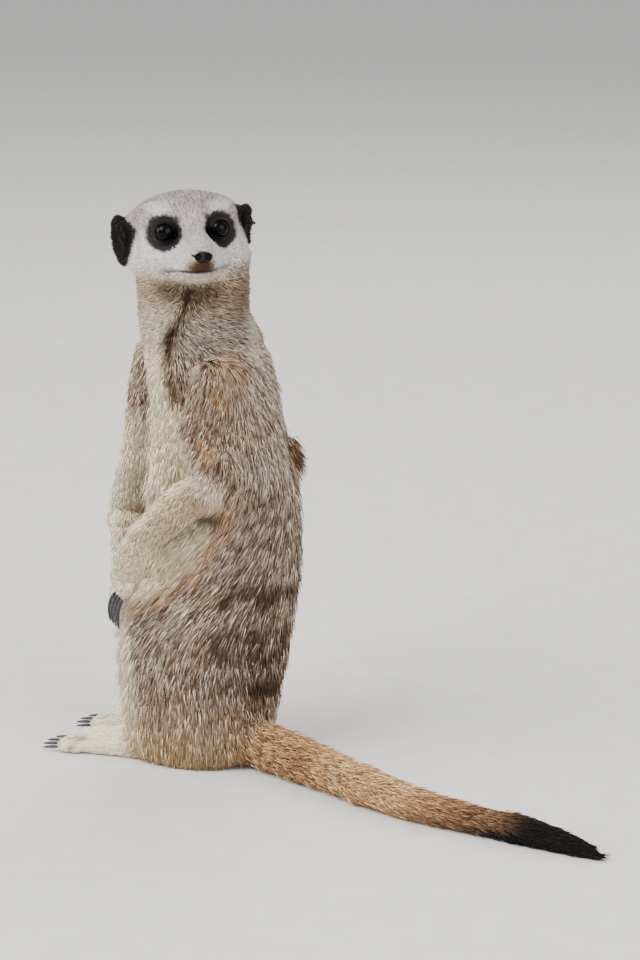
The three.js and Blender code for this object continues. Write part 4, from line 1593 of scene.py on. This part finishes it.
@dataclass
class Coat:
    """One piece of the coat: tufts over some parts of the skin.

    bend is where a tuft turns over, as a share of its length, stray the share of tufts that stand out, turn
    how far tufts turn from the lie of the coat in degrees, and lock the number of tufts that lean together.
    A tuft's middle is a three-sided ring: two low corners, `low` half widths under its middle, and one high.
    """

    name: str
    nodes: tuple[str, ...]
    slot: str
    seed: int
    bend: float = 0.42
    tip_lift: float = 0.35
    stray: float = 0.05
    turn: float = 9.0
    length_spread: Span = (0.78, 1.22)
    width_spread: Span = (0.8, 1.2)
    lift_spread: Span = (0.75, 1.25)
    stray_lift: float = 0.5
    stray_length: float = 0.12
    sunk: float = 0.3 * MM
    low: float = 0.4
    high: float = 0.9
    lock: int = 5
    patch: float = 0.003
    floor: float = 0.25 * MM
    floor_spread: Span = (0.6, 1.6)
    island_angle: float = 80.0
    island_gap: float = 0.004
    quick_share: int = 4
    limit: int = 32000
    rng: np.random.Generator = field(init=False)

    def build(self, skin: Skin, lie: Lie, marks: np.ndarray, finish: bpy.types.Material) -> bpy.types.Object:
        """Grows the tufts.

        Args:
            skin: the skin they grow from.
            lie: their direction, length and width.
            marks: the skin's eight shares, side by side.
            finish: the coat's material.
        Returns:
            The joined mesh of tufts.
        """
        self.rng = np.random.default_rng(self.seed)
        faces, chart = self.region(skin)
        pick, blend = self.roots(skin, lie, faces)
        corners = faces[pick]

        def at(values: np.ndarray) -> np.ndarray:
            """A value of the skin at the roots."""
            return np.einsum("rc,rck->rk", blend, values[corners].reshape(len(pick), 3, -1))

        points, normals = at(skin.points), unit(at(skin.normals))
        flow = across(normals, at(lie.flow))
        marking = at(marks)
        length = at(lie.length)[:, 0] * MM * self.rng.uniform(*self.length_spread, len(pick))
        width = at(lie.width)[:, 0] * MM * self.rng.uniform(*self.width_spread, len(pick))
        lift = np.radians(at(lie.lift)[:, 0])
        clump = at(lie.clump)
        stray = self.rng.random(len(pick)) < self.stray
        lift *= self.rng.uniform(*self.lift_spread, len(pick)) + self.stray_lift * stray
        length *= 1 + self.stray_length * stray
        turn = self.rng.normal(0, radians(self.turn), len(pick))
        side = np.cross(normals, flow)
        flow = unit(flow * np.cos(turn)[:, None] + side * np.sin(turn)[:, None])
        verts = self.tufts(points, normals, flow, length, width, lift, clump)
        place = np.einsum("rc,rck->rk", blend, chart[pick])
        return self.mesh(verts, marking, place, finish)

    def region(self, skin: Skin) -> tuple[np.ndarray, np.ndarray]:
        """The triangles of the skin under this piece, and their corners on an unwrap of that skin.

        Args:
            skin: the skin.
        Returns:
            Rows of three vertices, and rows of three places on the unwrap.
        """
        mesh = skin.obj.data
        mesh.calc_loop_triangles()
        tris = np.empty(len(mesh.loop_triangles) * 3, dtype=np.int64)
        mesh.loop_triangles.foreach_get("vertices", tris)
        tris = tris.reshape(-1, 3)
        owner = np.argmax(skin.weights, axis=1)[tris[:, 0]]
        tris = tris[np.isin(owner, [PART[node] for node in self.nodes])]
        used, index = np.unique(tris, return_inverse=True)
        cut = bpy.data.meshes.new("cut")
        cut.from_pydata(skin.points[used].tolist(), [], index.reshape(-1, 3).tolist())
        cut.uv_layers.new(name="OFBake")
        helper = link("cut", cut)
        bpy.context.view_layer.objects.active = helper
        helper.select_set(True)
        bpy.ops.object.mode_set(mode="EDIT")
        bpy.ops.mesh.select_all(action="SELECT")
        bpy.ops.uv.smart_project(angle_limit=radians(self.island_angle), island_margin=self.island_gap)
        bpy.ops.object.mode_set(mode="OBJECT")
        chart = np.empty(len(cut.loops) * 2)
        cut.uv_layers["OFBake"].uv.foreach_get("vector", chart)
        bpy.data.objects.remove(helper)
        bpy.data.meshes.remove(cut)
        return tris, chart.reshape(-1, 3, 2)

    def roots(self, skin: Skin, lie: Lie, faces: np.ndarray) -> tuple[np.ndarray, np.ndarray]:
        """Chooses the roots, closer together where the parts say so.

        Args:
            skin: the skin.
            lie: the lie of the coat, with its bare places.
            faces: the triangles of the skin under this piece.
        Returns:
            The triangle of each root, and its place in it as three shares.
        """
        a, b, c = (skin.points[faces[:, k]] for k in range(3))
        area = np.linalg.norm(np.cross(b - a, c - a), axis=1) / 2
        spacing = (skin.weights @ column("spacing"))[faces].mean(axis=1) * MM
        bare = lie.bare[faces].mean(axis=1)
        wanted = area / spacing ** 2 * (bare < 0.5)
        count = min(int(wanted.sum()), self.limit)
        pick = np.sort(self.rng.choice(len(faces), size=count, p=wanted / wanted.sum()))
        first, second = np.sqrt(self.rng.random(count)), self.rng.random(count)
        return pick, np.stack([1 - first, first * (1 - second), first * second], axis=1)

    def tufts(self, points: np.ndarray, normals: np.ndarray, flow: np.ndarray, length: np.ndarray,
              width: np.ndarray, lift: np.ndarray, clump: np.ndarray) -> np.ndarray:
        """Places the five vertices of every tuft: root, three round the bend, tip.

        Args:
            points: the roots.
            normals: the skin's normals there.
            flow: the ways the tufts lie.
            length: their lengths.
            width: their widths.
            lift: how far they stand off the skin, in radians.
            clump: how far each tip is drawn to a neighbour's.
        Returns:
            Five rows for each tuft.
        """
        side = np.cross(normals, flow)
        rise = flow * np.cos(lift)[:, None] + normals * np.sin(lift)[:, None]
        over = lift * self.tip_lift
        fall = flow * np.cos(over)[:, None] + normals * np.sin(over)[:, None]
        root = points - normals * self.sunk
        bend = root + rise * (length * self.bend)[:, None]
        tip = bend + fall * (length * (1 - self.bend))[:, None]
        tip = self.gather(points, tip, clump)
        half = width[:, None] / 2
        low = normals * half * self.low
        ring = [bend + side * half - low, bend - side * half - low, bend + normals * half * self.high]
        verts = np.stack([root, *ring, tip], axis=1)
        floor = self.floor * self.rng.uniform(*self.floor_spread, len(root))[:, None]
        verts[:, :, 2] = np.maximum(verts[:, :, 2], floor)
        return verts

    def gather(self, points: np.ndarray, tips: np.ndarray, clump: np.ndarray) -> np.ndarray:
        """Draws the tips of neighbouring tufts together into locks.

        Args:
            points: the roots.
            tips: the tips.
            clump: how far each tip is drawn to a neighbour's.
        Returns:
            The new tips.
        """
        heads = self.rng.choice(len(points), size=max(len(points) // self.lock, 1), replace=False)
        tree = KDTree(len(heads))
        for index, point in enumerate(points[heads]):
            tree.insert(point, index)
        tree.balance()
        nearest = heads[[tree.find(point)[1] for point in points]]
        return tips + clump * (tips[nearest] - tips)

    def mesh(self, verts: np.ndarray, marking: np.ndarray, place: np.ndarray,
             finish: bpy.types.Material) -> bpy.types.Object:
        """Joins the tufts into one mesh with its markings, strand numbers and patches on the unwrap.

        Args:
            verts: five rows for each tuft.
            marking: the eight shares at each root.
            place: where each root lies on the unwrap.
            finish: the material.
        Returns:
            The piece's object.
        """
        count, corners = verts.shape[:2]
        faces = (np.arange(count)[:, None, None] * corners + np.array(TUFT_FACES)).reshape(-1)
        sides = count * len(TUFT_FACES)
        mesh = bpy.data.meshes.new(self.name)
        mesh.vertices.add(count * corners)
        mesh.vertices.foreach_set("co", verts.ravel())
        mesh.loops.add(len(faces))
        mesh.loops.foreach_set("vertex_index", faces.astype(np.int32))
        mesh.polygons.add(sides)
        mesh.polygons.foreach_set("loop_start", np.arange(sides, dtype=np.int32) * 3)
        mesh.update(calc_edges=True)
        mesh.polygons.foreach_set("use_smooth", np.ones(sides, dtype=bool))
        store(mesh, np.repeat(marking, corners, axis=0))
        strand = np.ones((count, corners, 4), dtype=np.float32)
        strand[:, :, 0] = [0.0, self.bend, self.bend, self.bend, 1.0]
        strand[:, :, 1:3] = self.rng.random((count, 1, 2))
        mesh.attributes.new("strand", "FLOAT_COLOR", "POINT").data.foreach_set("color", strand.ravel())
        spots = np.array([[0.5, 0.0], [0.0, self.bend], [1.0, self.bend], [0.5, self.bend], [0.5, 1.0]])
        patches = place[:, None, :] * (1 - self.patch) + spots * self.patch
        layer = mesh.uv_layers.new(name="OFBake")
        layer.uv.foreach_set("vector", patches.reshape(-1, 2)[faces].ravel().astype(np.float32))
        mesh.materials.append(finish)
        obj = link(self.name, mesh)
        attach(obj, BODY)
        return obj


COATS: list[Coat] = [
    Coat("coat_head", ("head", "nose"), "face_coat", 11),
    Coat("coat_head_under", ("head",), "face_coat", 12),
    Coat("coat_neck", ("neck",), "grizzled_coat", 13),
    Coat("coat_chest", ("chest",), "grizzled_coat", 14),
    Coat("coat_belly", ("belly",), "grizzled_coat", 15),
    Coat("coat_rump", ("rump",), "grizzled_coat", 16),
    Coat("coat_left_thigh", ("left_thigh",), "grizzled_coat", 17),
    Coat("coat_right_thigh", ("right_thigh",), "grizzled_coat", 18),
    Coat("coat_left_arm", ("left_upper_arm", "left_forearm", "left_hand"), "pale_coat", 19),
    Coat("coat_right_arm", ("right_upper_arm", "right_forearm", "right_hand"), "pale_coat", 20),
    Coat("coat_left_foot", ("left_foot",), "pale_coat", 21),
    Coat("coat_right_foot", ("right_foot",), "pale_coat", 22),
    Coat("coat_tail", ("tail_root", "tail_middle", "tail_tip"), "tail_coat", 23),
    Coat("coat_ears", ("left_ear", "right_ear"), "ear_coat", 24),
]


@dataclass(frozen=True)
class EyeFinish:
    """A wet dark eye: black pupil, dark brown iris, darker rim."""

    pupil: str = "020202"
    iris: str = "070403"
    rim: str = "030303"
    pupil_radius: float = 2.0 * MM
    pupil_blur: Span = (0.92, 1.08)
    iris_radius: float = 4.2 * MM
    iris_blur: Span = (0.85, 1.0)
    roughness: float = 0.14
    specular: float = 0.10

    def make(self, middle: np.ndarray, gaze: np.ndarray) -> bpy.types.Material:
        """Builds the material for one eye.

        Args:
            middle: the eye's middle.
            gaze: the way it looks.
        Returns:
            The material.
        """
        bench = Bench("eye")
        place = bench.add("ShaderNodeTexCoord", {}, {}, "Object")
        out = bench.add("ShaderNodeVectorMath", {"operation": "SUBTRACT"}, {0: place, 1: tuple(middle)})
        side = bench.add("ShaderNodeVectorMath", {"operation": "CROSS_PRODUCT"}, {0: out, 1: tuple(gaze)})
        reach = bench.add("ShaderNodeVectorMath", {"operation": "LENGTH"}, {0: side}, "Value")
        pupil = reach.step(*[self.pupil_radius * blur for blur in self.pupil_blur])
        limbus = reach.step(*[self.iris_radius * blur for blur in self.iris_blur])
        iris = bench.mix(pupil, tone(self.pupil), tone(self.iris))
        whole = bench.mix(limbus, iris, tone(self.rim))
        return bench.finish(Base_Color=whole, Roughness=self.roughness, Specular_IOR_Level=self.specular)


@dataclass
class Eye:
    """An eyeball with the bulge of its cornea."""

    side: Side
    axes: HeadAxes
    radius: float = 5.3 * MM
    bulge: float = 0.35 * MM
    cornea: float = 4.4 * MM
    segments: int = 48
    rings: int = 32

    def build(self) -> bpy.types.Object:
        """Makes the eyeball and replaces its node.

        Returns:
            The eyeball's object.
        """
        name = f"{self.side.value}_eyeball"
        middle = self.axes.eyes[self.side]
        gaze = np.stack([self.axes.ahead, self.axes.left, self.axes.up], axis=1) @ self.axes.gaze(self.side)
        bm = bmesh.new()
        turn = Vector((0, 0, 1)).rotation_difference(Vector(gaze)).to_matrix().to_4x4()
        bmesh.ops.create_uvsphere(bm, u_segments=self.segments, v_segments=self.rings, radius=self.radius,
                                  matrix=Matrix.Translation(Vector(middle)) @ turn)
        for vert in bm.verts:
            out = vert.co - Vector(middle)
            ahead = out.dot(Vector(gaze))
            flat = (out - Vector(gaze) * ahead).length
            if ahead > 0 and flat < self.cornea:
                vert.co += Vector(gaze) * self.bulge * (1 - (flat / self.cornea) ** 2)
        obj = link(name, finished(name, bm, EyeFinish().make(middle, gaze)))
        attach(obj, BODY)
        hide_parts(f"{self.side.value}_eye")
        return obj


@dataclass(frozen=True)
class ClawFinish:
    """Blue-black horn with paler streaks."""

    dark: str = "15161B"
    pale: str = "4A4A50"
    streak: Span = (0.35, 0.75)
    scale: float = 700.0

    def make(self) -> bpy.types.Material:
        """Builds the material."""
        bench = Bench("claw")
        place = bench.add("ShaderNodeTexCoord", {}, {}, "Object")
        streak = bench.noise(place, self.scale, 3.0)
        colour = bench.mix(streak.step(*self.streak), tone(self.dark), tone(self.pale))
        bump = bench.bump(streak, 0.2, 0.2 * MM)
        return bench.finish(Base_Color=colour, Roughness=0.28 + 0.2 * streak, Normal=bump)


@dataclass
class Claws:
    """The long digging claws of the hands and the short ones of the feet, four to each."""

    swell: float = 0.28 * MM
    levels: int = 2

    def build(self) -> list[bpy.types.Object]:
        """Rounds a copy of every claw node and replaces it.

        Returns:
            The sixteen claws.
        """
        finish = ClawFinish().make()
        return [self.claw(f"{side.value}_{limb}_claw_{digit}", finish)
                for side in Side for limb in ("hand", "foot") for digit in DIGITS]

    def claw(self, node: str, finish: bpy.types.Material) -> bpy.types.Object:
        """One claw, rounded and swollen by as much as the rounding takes off.

        Args:
            node: the claw's CAD node.
            finish: its material.
        Returns:
            The claw's object.
        """
        name = f"horn_{node}"
        obj = link(name, finished(name, swollen(self.swell, node), finish))
        rounding = obj.modifiers.new("rounding", "SUBSURF")
        rounding.levels = rounding.render_levels = self.levels
        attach(obj, BODY)
        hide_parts(node)
        return obj


@dataclass(frozen=True)
class Lamp:
    """A square soft light: where it stands, its size in metres and its power in watts."""

    name: str
    place: tuple[float, float, float]
    size: float
    power: float


@dataclass
class Studio:
    """Pale floor, soft lights and the camera."""

    lamps: tuple[Lamp, ...] = (
        Lamp("key", (1.1, -1.3, 1.7), 1.3, 61), Lamp("fill", (1.4, 1.2, 0.9), 1.6, 35),
        Lamp("rim", (-1.2, 0.4, 1.5), 1.2, 18), Lamp("side", (0.2, -1.9, 0.8), 1.0, 22))
    sky: str = "E9EDF2"
    sky_strength: float = 0.75
    floor_tones: tuple[str, str] = ("DAD6CF", "DFDBD5")
    aim: tuple[float, float, float] = (0.0, 0.05145, 0.141)
    distance: float = 1.64
    elevation: float = 14.0
    lens: float = 125.5
    sensor: float = 36.0
    sight: float = 20.0
    floor_size: float = 40.0

    def build(self) -> None:
        """Makes all of it."""
        self.floor()
        for lamp in self.lamps:
            self.light(lamp)
        world = bpy.data.worlds.new("studio")
        world.use_nodes = True
        sky = world.node_tree.nodes["Background"]
        sky.inputs["Color"].default_value = tone(self.sky)
        sky.inputs["Strength"].default_value = self.sky_strength
        bpy.context.scene.world = world
        self.camera()

    def floor(self) -> None:
        """A wide floor just under the feet."""
        bm = bmesh.new()
        bmesh.ops.create_grid(bm, x_segments=1, y_segments=1, size=self.floor_size / 2)
        bench = Bench("floor")
        grain = bench.noise(bench.add("ShaderNodeTexCoord", {}, {}, "Object"), 60.0, 4.0)
        colour = bench.mix(grain.step(0.3, 0.7), *[tone(code) for code in self.floor_tones])
        floor = link("floor", finished("floor", bm, bench.finish(Base_Color=colour, Roughness=0.85)))

    def light(self, lamp: Lamp) -> None:
        """One of the lamps, facing the animal.

        Args:
            lamp: the lamp.
        """
        data = bpy.data.lights.new(lamp.name, "AREA")
        data.size = lamp.size
        data.energy = lamp.power
        obj = link(lamp.name, data)
        obj.location = lamp.place
        way = Vector(self.aim) - Vector(lamp.place)
        obj.rotation_euler = way.to_track_quat("-Z", "Y").to_euler()

    def camera(self) -> None:
        """The camera on the +X side, a little above the animal, looking down at it."""
        lens = bpy.data.cameras.new("camera")
        lens.lens = self.lens
        lens.sensor_width = self.sensor
        lens.clip_end = self.sight
        obj = link("camera", lens)
        rise = radians(self.elevation)
        aim = Vector(self.aim)
        obj.location = aim + self.distance * Vector((cos(rise), 0, sin(rise)))
        obj.rotation_euler = (aim - obj.location).to_track_quat("-Z", "Y").to_euler()
        bpy.context.scene.camera = obj


def main() -> None:
    """Builds the skin, the coat, the eyes, the claws and the studio, and reports each piece."""
    logging.basicConfig(level=logging.INFO, format="%(message)s", stream=sys.stdout)
    axes, face = HeadAxes(), Face()
    skin = Skin(axes, face)
    skin.build()
    log.info("skin: %d vertices", len(skin.points))
    markings = Markings(skin)
    skin.sink(NECK_CREASE_DEPTH * markings.crease() + SHOULDER_FOLD_DEPTH * markings.drawn(SHOULDER_FOLD))
    marks = markings.paint()
    store(skin.obj.data, marks)
    skin.obj.data.materials.append(FurFinish("skin", Layer.SKIN).make())
    lie = Lie(skin, markings)
    lie.build()
    fur = FurFinish("coat", Layer.COAT).make()
    for coat in COATS:
        piece = coat.build(skin, lie, marks, fur)
        log.info("%s: %d triangles", piece.name, len(piece.data.polygons))
    for side in Side:
        log.info("%s", Eye(side, axes).build().name)
    log.info("claws: %d", len(Claws().build()))
    Studio().build()


if __name__ == "__main__":
    main()
